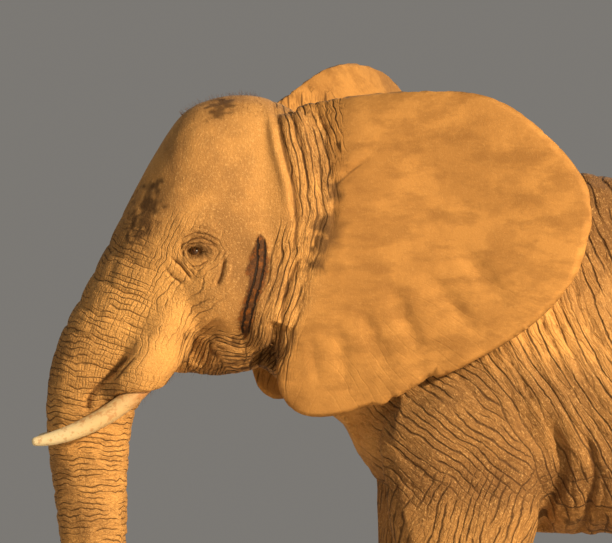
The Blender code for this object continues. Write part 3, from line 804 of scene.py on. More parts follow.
def jaw_reach(at: Places) -> np.ndarray:
    """The lower jaw and throat."""
    height = eased(at.up, -0.25, -0.32) * eased(at.up, -0.62, -0.5)
    return height * eased(at.back, -0.10, -0.03) * eased(at.back, 0.42, 0.28) * at.on_body


def flank_flow(at: Places) -> np.ndarray:
    """Across the folds that hang from the spine and swing back towards the armpit."""
    line_up = np.array([-2.3, -1.15, -0.75, -0.3, 0.5])
    lean = np.array([0.0, 0.02, 0.18, 0.46, 0.80])
    round_rump = 0.7 * at.side * eased(at.back, 1.5, 3.0)
    return stacked(at.back + np.interp(at.up, line_up, lean) - round_rump, at.z, at.x)


def flank_reach(at: Places) -> np.ndarray:
    """The torso behind the elbow."""
    gate = np.interp(at.up, [-0.9, -0.6, 0.3], [1.30, 1.12, 0.75])
    return eased(at.back, gate - 0.08, gate + 0.10) * eased(at.up, -1.28, -1.05) * at.on_body


def shoulder_flow(at: Places) -> np.ndarray:
    """Across the folds that run down and back over the shoulder."""
    return stacked(0.62 * at.back + 0.78 * at.up, 0.78 * at.back - 0.62 * at.up, at.x)


def shoulder_reach(at: Places) -> np.ndarray:
    """The shoulder blade and the top of the foreleg."""
    gate = np.interp(at.up, [-0.9, -0.6, 0.3], [1.34, 1.16, 0.80])
    across = eased(at.back, 0.5, 0.8) * eased(at.back, gate + 0.06, gate - 0.05)
    return across * eased(at.up, -1.06, -0.80) * eased(at.up, 0.5, 0.2) * at.on_body


def leg_flow(at: Places) -> np.ndarray:
    """Down a leg, then round it from its front."""
    turn = np.zeros(len(at.back))
    for left, hind in ((True, True), (True, False), (False, True), (False, False)):
        own = (at.left == left) & ((at.back > 1.65) == hind)
        shank = own & (at.z < 0.9) & (at.back > 0.45)
        middle = at.points[shank].mean(0) if shank.any() else np.zeros(3)
        turn[own] = np.arctan2(np.abs(at.x[own] - middle[0]), middle[1] - at.y[own])
    return stacked(at.z, 0.17 * turn - 0.30 * at.z, at.x)


def leg_reach(at: Places) -> np.ndarray:
    """All four legs below the body."""
    return eased(at.up, -0.68, -0.95) * eased(at.back, 0.45, 0.62) * eased(at.z, 0.02, 0.16)


def body_flow(at: Places) -> np.ndarray:
    """Plain distances, for nets."""
    return at.points


def body_reach(at: Places) -> np.ndarray:
    """Everything behind the head but the ears' fans."""
    return eased(at.back, 0.30, 0.55) * at.on_body


def fan_flow(at: Places) -> np.ndarray:
    """Round the ear's root, then outwards."""
    hinge_back, hinge_up, hinge_side = 0.50, 0.05, 0.26
    out = np.hypot(at.back - hinge_back, at.side - hinge_side)
    turn = np.arctan2(at.up - hinge_up, out + 0.12)
    return stacked(turn * 0.75, np.hypot(out, at.up - hinge_up), at.up * 0)


def fan_reach(at: Places) -> np.ndarray:
    """The ears' fans below the middle, where the thin edge ripples."""
    return at.fan * eased(fan_flow(at)[:, 1], 0.25, 0.55) * eased(at.up, 0.10, -0.25)


REGIONS = (
    Region(1, trunk_flow, trunk_reach, (
        Folds(0.105, 9 * MM, run=6, width=0.24, wander=0.16, kind=Crease.REGULAR, seed=11),
        Folds(0.034, 3.4 * MM, run=5, width=0.20, wander=0.4, seed=12),
    ), unit=21 * MM, stain=0.45, lined=0.8, line=5 * MM, line_flow=ring_flow),
    Region(2, trunk_flow, face_reach, (
        Folds(0.030, 2.2 * MM, run=6, width=0.22, wander=0.5, lengthwise=True, seed=21),
    ), unit=14 * MM, stain=0.35, lined=0.62, line=2.8 * MM, lengthwise=True, line_flow=ring_flow),
    Region(1, nape_flow, nape_reach, (
        Folds(0.056, 10 * MM, run=12, width=0.28, wander=0.35, kind=Crease.REGULAR, seed=31),
    ), unit=28 * MM, stain=0.8, line=6.5 * MM),
    Region(3, eye_flow, eye_reach, (
        Folds(0.018, 1.4 * MM, run=4, width=0.30, wander=0.5, kind=Crease.REGULAR, seed=41),
    ), unit=15 * MM, stain=0.6, lined=0.55, line=4 * MM),
    Region(3, jaw_flow, jaw_reach, (
        Folds(0.026, 5.5 * MM, run=4, width=0.26, wander=0.4, seed=51),
    ), unit=14 * MM, line=4 * MM),
    Region(1, flank_flow, flank_reach, (
        Folds(0.058, 12 * MM, run=9, width=0.17, wander=0.45, seed=61),
        Folds(0.034, 3.0 * MM, run=7, width=0.20, wander=0.4, seed=62),
    ), unit=44 * MM, stain=0.4, line=7 * MM),
    Region(2, shoulder_flow, shoulder_reach, (
        Folds(0.050, 9 * MM, run=7, width=0.17, wander=0.4, seed=71),
    ), unit=30 * MM, stain=0.6, line=6.5 * MM),
    Region(3, leg_flow, leg_reach, (
        Folds(0.036, 5.5 * MM, run=8, width=0.20, wander=0.4, lengthwise=True, seed=82),
        Folds(0.060, 2.0 * MM, run=4, width=0.20, wander=0.4, seed=81),
    ), unit=25 * MM, stain=0.45, line=6 * MM, lengthwise=True),
    Region(0, body_flow, body_reach, (
        Folds(0.045, 0.9 * MM, run=1.4, width=0.12, kind=Crease.NET, seed=91),
    ), stain=0.12),
    Region(2, fan_flow, fan_reach, (
        Folds(0.075, 1.6 * MM, run=9, width=0.7, wander=0.35, seed=101),
    ), unit=40 * MM, stain=0.0, lined=0.12),
)


def gland_across(at: Places) -> np.ndarray:
    """How far behind the gland's middle each place is, in the half gap between its two grooves."""
    gap, _, side = line_gap(at.back, at.up, at.marks.gland)
    return np.clip(-side * gap / (13.5 * MM), -4, 4)


def gland_inside(at: Places) -> np.ndarray:
    """How far inside the wet streak's edge each place is, in centimetres; below 0 outside it."""
    gap, _, side = line_gap(at.back, at.up, at.marks.gland)
    heights = [-0.335, -0.306, -0.249, -0.174, -0.098, -0.072, -0.050, 0.008, 0.045, 0.066, 0.075]
    ahead = [0.000, 0.022, 0.038, 0.033, 0.040, 0.060, 0.055, 0.041, 0.024, 0.008, 0.000]
    behind = [0.000, 0.020, 0.025, 0.028, 0.037, 0.037, 0.034, 0.027, 0.018, 0.008, 0.000]
    edge = np.where(side > 0, np.interp(at.up, heights, ahead), np.interp(at.up, heights, behind))
    ends = np.minimum(0.075 - at.up, at.up + 0.345)
    inside = np.minimum(edge - gap, ends) / 0.01
    return np.clip(np.where((at.side < 0.1) | (at.fan > 0.5), -3, inside), -3, 3)


def soil_and_shade_mark(at: Places) -> np.ndarray:
    """Dark spots: soil before the ear's root and on the crown, and painted shade down the front of the
    forehead.
    """
    spots = (
        (0.50, 0.10, 0.05), (0.48, 0.02, 0.05), (0.46, -0.05, 0.04), (0.09, 0.55, 0.05), (0.53, 0.22, 0.04),
        # These spots down the front of the forehead are painted shade.
        (-0.165, 0.23, 0.040), (-0.180, 0.18, 0.050), (-0.195, 0.12, 0.050), (-0.215, 0.06, 0.045),
    )
    mark = np.zeros(len(at.back))
    for back, up, size in spots:
        gap = np.hypot(at.back - back, at.up - up) / size
        mark = np.maximum(mark, eased(gap + 0.9 * value_noise(at.points / 0.020, 205), 1.3, 0.3))
    return 0.8 * mark * at.left


def painted_shade_mark(at: Places) -> np.ndarray:
    """Painted shade, 0 to 1: round the eye, on jaw, cheek, brow, crown and nape, behind the jaw, under the ear,
    along the back and on the legs.
    """
    dark = 0.95 * spot(at, 0.015, 0.005, 0.050, 0.036) + 0.45 * spot(at, 0.09, -0.46, 0.14, 0.06)
    dark += 0.45 * spot(at, 0.20, -0.27, 0.05, 0.07) + 0.30 * spot(at, 0.12, 0.58, 0.14, 0.05)
    dark += 0.36 * spot(at, 0.02, 0.36, 0.20, 0.22) + 0.60 * spot(at, 0.18, -0.06, 0.15, 0.20)
    dark += 0.30 * spot(at, 0.36, 0.25, 0.10, 0.30) + 0.18 * spot(at, 1.10, -0.6, 0.4, 0.3)
    dark += 0.95 * eased(at.back, 1.15, 1.40) * eased(at.up, -0.25, 0.10) * at.on_body
    upper_leg = eased(at.up, -0.35, -0.55) * eased(at.up, -1.15, -0.85)
    dark += 0.60 * eased(at.back, 0.6, 0.8) * upper_leg * at.on_body
    dark += 0.30 * eased(at.up, -0.65, -0.95) * eased(at.back, 0.3, 0.6) * at.on_body
    dark += 0.90 * spot(at, 0.285, -0.38, 0.045, 0.085)
    return np.clip(dark, 0, 0.95)


def painted_light_mark(at: Places) -> np.ndarray:
    """Painted light, 0 to 1: a paler dust colour laid on the trunk's side, the cheek under the eye and the lip.
    """
    painted_light = 0.9 * spot(at, -0.26, -0.26, 0.15, 0.22) + 0.35 * spot(at, -0.06, -0.16, 0.10, 0.10)
    painted_light += 0.2 * spot(at, -0.09, -0.40, 0.07, 0.13)
    return np.clip(painted_light, 0, 1)


MARKINGS: dict[str, Callable[[Places], np.ndarray]] = {
    "gland": gland_across, "wet": gland_inside, "soil_and_shade": soil_and_shade_mark, "shade": painted_shade_mark, "painted_light": painted_light_mark,
}


# ---------------------------------------------------------------------------- finishes


def linear(colour: str) -> tuple[float, float, float, float]:
    """An sRGB hex colour as linear RGBA."""
    parts = [int(colour[i : i + 2], 16) / 255 for i in (1, 3, 5)]
    return (*[c / 12.92 if c <= 0.04045 else ((c + 0.055) / 1.055) ** 2.4 for c in parts], 1.0)


class NodeBench:
    """A node tree and the one way that nodes are added to it."""

    def __init__(self, tree: bpy.types.NodeTree) -> None:
        """Takes the tree."""
        self.tree = tree

    def fill(self, node: bpy.types.Node, inputs: dict) -> None:
        """Links or sets a node's sockets, each given by name or number."""
        for key, value in inputs.items():
            if isinstance(value, Socket):
                self.tree.links.new(value, node.inputs[key])
            else:
                node.inputs[key].default_value = value

    def add(self, kind: str, inputs: dict | None = None, **settings: object) -> bpy.types.Node:
        """Adds a node.

        Args:
            kind: the node's type.
            inputs: for each socket, by name or number, a value or an output to link.
            settings: the node's own properties.

        Returns:
            The node.
        """
        made = self.tree.nodes.new(kind)
        for key, value in settings.items():
            setattr(made, key, value)
        self.fill(made, inputs or {})
        return made

    def math(self, operation: str, *values: object) -> Socket:
        """What a Math node makes of numbers and outputs."""
        return self.add("ShaderNodeMath", dict(enumerate(values)), operation=operation).outputs[0]

    def vector(self, operation: str, *values: object) -> Socket:
        """What a Vector Math node makes of two vectors."""
        return self.add("ShaderNodeVectorMath", dict(enumerate(values)), operation=operation).outputs[0]

    def scaled(self, vector: object, scale: object) -> Socket:
        """A vector times a number."""
        return self.add("ShaderNodeVectorMath", {0: vector, "Scale": scale}, operation="SCALE").outputs[0]


class Bench(NodeBench):
    """The bench on which a material is made, with the nodes that several finishes use."""

    def __init__(self, name: str) -> None:
        """Starts an empty material with its shader and output."""
        self.material = bpy.data.materials.new(name)
        self.material.use_nodes = True
        super().__init__(self.material.node_tree)
        self.tree.nodes.clear()
        self.shader = self.add("ShaderNodeBsdfPrincipled")
        self.add("ShaderNodeOutputMaterial", {"Surface": self.shader.outputs[0]})

    def place(self) -> Socket:
        """The place in the object, in metres."""
        return self.add("ShaderNodeTexCoord").outputs["Object"]

    def stored(self, name: str, output: str = "Fac") -> Socket:
        """What the mesh stores under a name."""
        return self.add("ShaderNodeAttribute", attribute_name=name).outputs[output]

    def spread(self, place: Socket, scale: tuple, **more: object) -> Socket:
        """Coordinates scaled along each axis, and turned or moved."""
        return self.add("ShaderNodeMapping", {"Vector": place, "Scale": scale, **more}).outputs[0]

    def noise(self, place: Socket, scale: float, detail: float, rough: float = 0.5, **more: float) -> Socket:
        """Cloudy noise from 0 to 1."""
        inputs = {"Vector": place, "Scale": scale, "Detail": detail, "Roughness": rough, **more}
        return self.add("ShaderNodeTexNoise", inputs).outputs[0]

    def ramp(self, share: Socket, low: float, high: float) -> Socket:
        """A value that goes evenly from low to high with a share from 0 to 1."""
        return self.add("ShaderNodeMapRange", {"Value": share, "To Min": low, "To Max": high}).outputs[0]

    def step(self, value: Socket, low: object, high: object, top: float = 1.0) -> Socket:
        """A smooth step from 0 at low to top at high, which may be the smaller."""
        span = {"Value": value, "From Min": low, "From Max": high, "To Min": 0.0, "To Max": top}
        return self.add("ShaderNodeMapRange", span, interpolation_type="SMOOTHSTEP").outputs[0]

    def mix(self, share: Socket, low: object, high: object) -> Socket:
        """Two colours, each a hex value or an output, mixed by a share."""
        ends = {6: low, 7: high}
        inputs = {key: linear(value) if isinstance(value, str) else value for key, value in ends.items()}
        return self.add("ShaderNodeMix", {0: share, **inputs}, data_type="RGBA").outputs[2]

    def relief(self, height: Socket, distance: float, strength: float) -> Socket:
        """The normal of a bumpy surface."""
        inputs = {"Height": height, "Distance": distance, "Strength": strength}
        return self.add("ShaderNodeBump", inputs).outputs[0]

    def done(self, inputs: dict) -> bpy.types.Material:
        """Links or sets the shader's sockets and gives the material."""
        self.fill(self.shader, inputs)
        return self.material


@dataclass(frozen=True)
class HideFinish:
    """Dry wrinkled hide: mid brown-grey skin under a rubbed layer of ochre dust.

    The dust lies on the cushions; the creases, fine lines and pleats are painted dark, as painted shade, which
    gives the net its contrast.
    """

    dust: str = "#d29c58"
    dust_pale: str = "#e0b272"
    # Painted light: a paler dust colour that brightens the trunk's side, the cheek and the lip.
    painted_light_dust: str = "#ecb266"
    bare: str = "#a67a46"
    ear: str = "#ba8748"
    ear_bare: str = "#835a2c"
    # Painted shade: the colour that the painted shade mark darkens the hide to.
    painted_shade: str = "#6f4e2c"
    # Painted shade: the colour of the creases and fine lines.
    crease_shade: str = "#513317"
    wet: str = "#3c2009"
    wet_red: str = "#794411"
    # Painted shade: the colour of the gland's two grooves.
    groove: str = "#1c0f06"
    # Soil colour, and painted shade down the front of the forehead.
    soil_and_shade_colour: str = "#4a331d"
    # Painted shade: the colour of the pleats' lines.
    line: str = "#38220f"
    pebble: float = 9 * MM
    crease_depth: float = 4.0 * MM
    roughness: float = 0.80

    def lines(self, b: Bench, layer: int, finer: float, width: float) -> Socket:
        """Lines along one layer's flow: 1 in a line.

        Args:
            b: the material's bench.
            layer: which flow they follow.
            finer: how many lie in the space of one of the layer's own folds.
            width: the line's share of the space between two.

        Returns:
            The lines' output.
        """
        spread = b.spread(b.stored(f"flow_{layer}", "Vector"), (finer, finer / 5, finer / 5))
        drift = b.noise(spread, 1.0, 1.0, Distortion=0.45)
        off = b.math("ABSOLUTE", b.math("SUBTRACT", drift, 0.5))
        return b.math("MULTIPLY", b.step(off, width, 0.0), b.stored(f"reach_{layer}"))

    def pleats(self, b: Bench, layer: int) -> Socket:
        """Even lines along one layer's flow, which wander, fade out and start again: 1 in a line."""
        flow = b.stored(f"flow_{layer}", "Vector")
        drift = b.noise(b.spread(flow, (0.15, 0.13, 0.13)), 1.0, 2.0, 0.6)
        across = b.add("ShaderNodeSeparateXYZ", {0: flow}).outputs["X"]
        off = b.math("PINGPONG", b.math("MULTIPLY_ADD", drift, 2.8, across), 0.5)
        line = b.step(off, b.stored(f"width_{layer}"), 0.0)
        kept = b.noise(b.spread(flow, (0.8, 0.14, 0.14), Location=(9.0, 4.0, 1.0)), 1.0, 1.0)
        line = b.math("MULTIPLY", line, b.step(kept, 0.30, 0.55))
        return b.math("MULTIPLY", line, b.stored(f"reach_{layer}"))

    def streak(self, b: Bench, place: Socket, coat: Socket) -> tuple[Socket, Socket, Socket]:
        """Lays the gland's wet streak over the coat, and paints its two grooves dark as painted shade.

        Args:
            b: the material's bench.
            place: the place in the object.
            coat: the colour under it.

        Returns:
            The colour, how wet each place is, and how deep in a groove.
        """
        inside = b.stored("wet")
        ragged = b.noise(place, 38.0, 5.0, 0.7)
        shift = b.math("SUBTRACT", ragged, 0.5)
        wet = b.step(b.math("MULTIPLY_ADD", shift, 4.5, inside), -0.4, 1.3)
        across = b.math("ABSOLUTE", b.math("MULTIPLY_ADD", shift, 1.6, b.stored("gland")))
        groove = b.step(b.math("ABSOLUTE", b.math("SUBTRACT", across, 1.0)), 0.48, 0.12)
        groove = b.math("MULTIPLY", groove, b.step(inside, 0.1, 1.0))
        stain = b.mix(b.step(ragged, 0.45, 0.65, 0.8), self.wet, self.wet_red)
        coat = b.mix(b.math("MULTIPLY", wet, 0.94), coat, stain)
        # The gland's grooves are painted dark: painted shade.
        return b.mix(groove, coat, self.groove), wet, groove

    def most(self, b: Bench, *values: Socket) -> Socket:
        """The greatest of several outputs."""
        top = values[0]
        for value in values[1:]:
            top = b.math("MAXIMUM", top, value)
        return top

    def build(self) -> bpy.types.Material:
        """The material."""
        b = Bench("dusty_hide")
        place, fan = b.place(), b.stored("fan")
        folds = self.most(b, *(self.pleats(b, layer) for layer in (1, 2, 3)))
        fine = self.most(b, *(self.lines(b, layer, 2.3, 0.10) for layer in (1, 2, 3)))
        blotch = b.noise(place, 4.5, 5.0, 0.6)
        brush = b.noise(b.spread(place, (14.0, 3.5, 14.0)), 1.0, 5.0, 0.65)
        speck = b.noise(place, 110.0, 3.0, 0.7)
        cells = {"Vector": place, "Scale": 1 / self.pebble, "Randomness": 1.0}
        pebble = b.add("ShaderNodeTexVoronoi", cells, feature="DISTANCE_TO_EDGE").outputs["Distance"]
        calm = b.ramp(fan, 1.0, 0.25)
        coat = b.mix(b.step(blotch, 0.36, 0.62, 0.85), self.bare, self.dust)
        ear = b.mix(b.step(brush, 0.58, 0.36, 0.50), self.ear, self.ear_bare)
        ear = b.mix(b.step(blotch, 0.58, 0.40, 0.36), ear, self.ear_bare)
        coat = b.mix(fan, coat, ear)
        # Painted light on the trunk's side, the cheek under the eye and the lip.
        coat = b.mix(b.stored("painted_light"), coat, self.painted_light_dust)
        # Painted shade laid over the coat where the mark says.
        coat = b.mix(b.stored("shade"), coat, self.painted_shade)
        coat = b.mix(b.math("MULTIPLY", b.step(speck, 0.50, 0.70, 0.45), calm), coat, self.dust_pale)
        coat = b.mix(b.step(speck, 0.46, 0.30, 0.40), coat, self.bare)
        # Painted shade: creases, grooves, fine lines and pleats are painted dark, besides their bumps.
        coat = b.mix(b.step(b.stored("crease"), 0.50, 1.0, 0.75), coat, self.crease_shade)
        coat = b.mix(b.step(fine, 0.1, 1.0, 0.35), coat, self.crease_shade)
        coat = b.mix(b.step(folds, 0.15, 0.85, 0.75), coat, self.line)
        # Soil, and painted shade down the front of the forehead.
        coat = b.mix(b.stored("soil_and_shade"), coat, self.soil_and_shade_colour)
        coat, wet, groove = self.streak(b, place, coat)
        height = b.math("MULTIPLY_ADD", fine, -0.35, b.math("MULTIPLY", folds, -1.0))
        height = b.math("MULTIPLY_ADD", groove, -1.2, height)
        grit = b.math("MULTIPLY_ADD", speck, 0.55, b.step(pebble, 0.0, 0.25, 0.16))
        height = b.math("MULTIPLY_ADD", grit, calm, height)
        return b.done({
            "Base Color": coat,
            "Roughness": b.ramp(wet, self.roughness, 0.62),
            "Normal": b.relief(height, self.crease_depth, 1.0),
            "IOR": 1.45,
            "Specular IOR Level": 0.25,
        })


@dataclass(frozen=True)
class IvoryFinish:
    """Old ivory, worn smooth: cream at the tip, stained orange-brown where it comes out of the lip."""

    cream: str = "#cbae7c"
    tip: str = "#d8c8a0"
    stain: str = "#a86a32"
    crack: str = "#84592f"
    roughness: float = 0.36

    def build(self) -> bpy.types.Material:
        """The material, which reads how far each place is along the tusk."""
        b = Bench("worn_ivory")
        along, place = b.stored("along"), b.place()
        grain = b.noise(b.spread(place, (60.0, 9.0, 60.0), Rotation=(-0.55, 0.0, 0.0)), 1.0, 4.0, 0.6)
        cloud = b.noise(place, 42.0, 3.0, 0.6)
        edge = b.math("MULTIPLY_ADD", cloud, 0.35, along)
        coat = b.mix(b.step(along, 0.45, 1.0), self.cream, self.tip)
        coat = b.mix(b.step(edge, 0.60, 0.28, 0.90), coat, self.stain)
        coat = b.mix(b.step(cloud, 0.50, 0.64, 0.55), coat, self.stain)
        coat = b.mix(b.step(grain, 0.40, 0.30, 0.60), coat, self.crack)
        return b.done({
            "Base Color": coat,
            "Roughness": b.ramp(grain, self.roughness, 0.55),
            "Normal": b.relief(grain, 0.8 * MM, 0.8),
            "IOR": 1.54,
            "Subsurface Weight": 0.08,
            "Subsurface Radius": (0.006, 0.004, 0.002),
        })


@dataclass(frozen=True)
class HornFinish:
    """Toenail horn, trimmed by walking: pale, with growth rings and dust in the grooves."""

    horn: str = "#c2a27a"
    dirt: str = "#7b5a38"
    ring: float = 7 * MM
    roughness: float = 0.55

    def build(self) -> bpy.types.Material:
        """The material."""
        b = Bench("ringed_horn")
        place = b.place()
        rings = b.noise(b.spread(place, (6.0, 6.0, 1 / self.ring)), 1.0, 3.0, 0.6)
        cloud = b.noise(place, 30.0, 4.0, 0.6)
        coat = b.mix(b.step(cloud, 0.40, 0.65, 0.8), self.horn, self.dirt)
        coat = b.mix(b.step(rings, 0.46, 0.34, 0.6), coat, self.dirt)
        return b.done({
            "Base Color": coat,
            "Roughness": self.roughness,
            "Normal": b.relief(rings, 1.5 * MM, 0.9),
            "IOR": 1.54,
        })


@dataclass(frozen=True)
class EyeFinish:
    """A cast glass eye, as taxidermists use: amber-brown iris, dark rim, and a wet clear front."""

    iris: str = "#3a2110"
    iris_pale: str = "#56351a"
    rim: str = "#1d0f08"
    white: str = "#3a2416"
    black: str = "#050302"
    pupil: float = 0.20
    edge: float = 0.62

    def build(self) -> bpy.types.Material:
        """The material, which reads how far each place is off the gaze."""
        b = Bench("cast_glass_eye")
        off = b.stored("off_gaze")
        spokes = b.add("ShaderNodeCombineXYZ", {"X": b.stored("round_gaze"), "Y": off}).outputs[0]
        rays = b.noise(b.spread(spokes, (9.0, 2.0, 1.0)), 1.0, 3.0, 0.6)
        coat = b.mix(b.step(rays, 0.40, 0.62), self.iris, self.iris_pale)
        coat = b.mix(b.step(off, self.edge - 0.14, self.edge), coat, self.rim)
        coat = b.mix(b.step(off, self.edge + 0.04, self.edge + 0.14), coat, self.white)
        coat = b.mix(b.step(off, self.pupil + 0.03, self.pupil), coat, self.black)
        return b.done({
            "Base Color": coat,
            "Roughness": 0.30,
            "Coat Weight": 1.0,
            "Coat Roughness": 0.12,
            "Coat IOR": 1.38,
            "IOR": 1.50,
        })


@dataclass(frozen=True)
class HairFinish:
    """Coarse, wiry tail and body hair: dark brown, with a dull sheen."""

    dark: str = "#4a2e15"
    worn: str = "#8a5c2c"
    roughness: float = 0.85

    def build(self) -> bpy.types.Material:
        """The material, a little paler in some hairs."""
        b = Bench("wiry_hair")
        vary = b.noise(b.spread(b.place(), (160.0, 160.0, 12.0)), 1.0, 2.0)
        return b.done({
            "Base Color": b.mix(b.step(vary, 0.45, 0.70, 0.8), self.dark, self.worn),
            "Roughness": self.roughness,
            "IOR": 1.55,
            "Specular IOR Level": 0.1,
        })


@dataclass(frozen=True)
class FloorFinish:
    """A matt painted studio floor, pale and even."""

    paint: str = "#d9d2c6"

    def build(self) -> bpy.types.Material:
        """The material."""
        b = Bench("matt_floor_paint")
        return b.done({
            "Base Color": linear(self.paint),
            "Roughness": 0.9,
            "Normal": b.relief(b.noise(b.place(), 90.0, 2.0), 0.4 * MM, 0.4),
        })


# ---------------------------------------------------------------------------- the hide


class Layer:
    """One layer of fine lines: whose flow they follow at each vertex, and how far they reach."""

    first_width = 0.2

    def __init__(self, count: int) -> None:
        """Starts with no lines at any of the vertices."""
        self.flow = np.zeros((count, 3))
        self.width = np.full(count, self.first_width)
        self.first, self.second = np.zeros((2, count))

    def lay(self, flow: np.ndarray, weight: np.ndarray, width: float) -> None:
        """Takes a region's flow and line width over where it weighs more than those before it."""
        wins = weight > self.first
        self.second = np.where(wins, self.first, np.maximum(self.second, weight))
        self.first = np.where(wins, weight, self.first)
        self.flow[wins] = flow[wins]
        self.width[wins] = width


@dataclass
class Hide:
    """The one skin over all flesh: trunk, head, ears, body, legs and tail."""

    nodes: dict[str, bpy.types.Object]
    marks: Landmarks
    coarse_voxel: float = 16 * MM
    fine_voxel: float = 5 * MM
    overlap: float = 1.2 * MM
    rounds_behind_jaw: int = 26
    rounds_all_over: int = 9
    rounds_fine: int = 5
    plug_search: float = 50 * MM
    plug_sink: float = 5 * MM
    plug_swell: float = 2.5 * MM
    eye_swell: float = 3 * MM
    nail_depth: float = 5 * MM
    root_search: float = 60 * MM
    root_gap: float = 14 * MM
    root_depth: float = 28 * MM
    ear_swell: float = 2 * MM
    fan_back: tuple[float, float] = (0.15, 1.70)
    fan_least_up: float = -0.75
    fan_search: float = 120 * MM
    fan_gap: tuple[float, float] = (10 * MM, 35 * MM)
    lid_reach: float = 110 * MM
    deepest_fold: float = 16 * MM
    triangles: int = 194_000
    flesh: list[str] = field(default_factory=list)
    # Painted shade in the strokes' fine grooves, for each vertex.
    groove_shade: np.ndarray = field(default_factory=lambda: np.zeros(0))

    def __post_init__(self) -> None:
        """Names the nodes of flesh that the hide stands for."""
        other = ("eye_", "tusk_", "toenail_", "tail_tuft")
        self.flesh = [n for n in self.nodes if not n.startswith(other)]

    def swollen_copy(self, node: str, distance: float) -> bpy.types.Object:
        """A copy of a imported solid, grown or, below 0, shrunk."""
        copy = merged_copy(self.nodes[node], node)
        swell(copy, distance)
        return copy

    def plug(self, node: str, host: BVHTree) -> bpy.types.Object:
        """A filler for the pocket that a tusk sits in, from the part of it that lies in the flesh."""
        copy = merged_copy(self.nodes[node], "plug")
        points = points_of(copy.data)
        gaps, _ = nearest(host, points, self.plug_search)
        inside = points[gaps < self.plug_sink]
        work = bmesh.new()
        for p in inside:
            work.verts.new(p)
        bmesh.ops.convex_hull(work, input=work.verts)
        centre = Vector(inside.mean(0))
        for v in work.verts:
            v.co += (v.co - centre).normalized() * self.plug_swell
        loose = [v for v in work.verts if not v.link_faces]
        bmesh.ops.delete(work, geom=loose, context="VERTS")
        work.to_mesh(copy.data)
        work.free()
        return copy

    def body_form(self) -> bpy.types.Object:
        """Head, trunk, torso and legs as one smooth closed form."""
        body = [n for n in self.flesh if not n.startswith("ear_") and n != "tail"]
        flesh = joined([self.swollen_copy(name, self.overlap) for name in body], "flesh")
        host = tree_of(flesh)
        parts = [flesh, self.plug("tusk_left", host), self.plug("tusk_right", host)]
        fillers = {"toenail": -self.nail_depth, "eye": self.eye_swell}
        for name in self.nodes:
            kind = name.split("_")[0]
            if kind in fillers:
                parts.append(self.swollen_copy(name, fillers[kind]))
        form = joined(parts, "form")
        modified(form, "REMESH", mode="VOXEL", voxel_size=self.coarse_voxel)
        surface = Surface(form)
        y, z = surface.points[:, 1], surface.points[:, 2]
        behind_jaw = eased(y, -0.95, -0.45)
        below = eased(z, 1.35, 1.05) * eased(y, -1.2, -0.9)
        surface.smooth(self.rounds_behind_jaw, 0.5 * np.maximum(behind_jaw, below))
        surface.smooth(self.rounds_all_over, 0.5)
        at = Places(surface.points, self.marks, np.zeros(surface.count))
        dent, _ = UNDER_EAR.lift(at)
        surface.points = surface.points + surface.normals() * dent[:, None]
        surface.write()
        return form

    def root(self, part: bpy.types.Object, body: BVHTree) -> None:
        """Sinks a part's points that are nearest the body into it."""
        points = points_of(part.data)
        gaps, normals = nearest(body, points, self.root_search)
        held = gaps < self.root_gap
        points[held] -= normals[held] * self.root_depth
        set_points(part.data, points)

    def ear_form(self, side: str, body: BVHTree) -> bpy.types.Object:
        """One ear, rounded, with its root let into the head."""
        ear = merged_copy(self.nodes[f"ear_{side}"], "ear")
        join_quads(ear, 0.7)
        self.root(ear, body)
        modified(ear, "SUBSURF", levels=2, render_levels=2)
        swell(ear, self.ear_swell)
        return ear

    def fan_share(self, points: np.ndarray, body: BVHTree) -> np.ndarray:
        """For each vertex 1 on an ear's fan, which stands clear of the body, and 0 elsewhere."""
        back, up = points[:, 1] - self.marks.eye.y, points[:, 2] - self.marks.eye.z
        first, last = self.fan_back
        about = np.nonzero((back > first) & (back < last) & (up > self.fan_least_up))[0]
        gaps, _ = nearest(body, points[about], self.fan_search)
        fan = np.zeros(len(points))
        fan[about] = eased(gaps, *self.fan_gap)
        return fan

    def whole_form(self) -> tuple[bpy.types.Object, np.ndarray]:
        """Body, ears and tail in one fine closed mesh.

        Returns:
            The mesh object, and for each vertex 1 on an ear's fan and 0 elsewhere.
        """
        body = self.body_form()
        log.info("body form: %d vertices", len(body.data.vertices))
        tree = tree_of(body)
        ears = [self.ear_form(side, tree) for side in ("left", "right")]
        tail = merged_copy(self.nodes["tail"], "tail")
        self.root(tail, tree)
        modified(tail, "SUBSURF", levels=1, render_levels=1)
        form = joined([body, tail] + ears, "hide")
        modified(form, "REMESH", mode="VOXEL", voxel_size=self.fine_voxel)
        self.refine_eyes(form.data)
        points = points_of(form.data)
        fan = self.fan_share(points, tree)
        points[:, 2] += self.edge_drop(points, fan)
        set_points(form.data, points)
        log.info("whole form: %d vertices", len(points))
        return form, fan

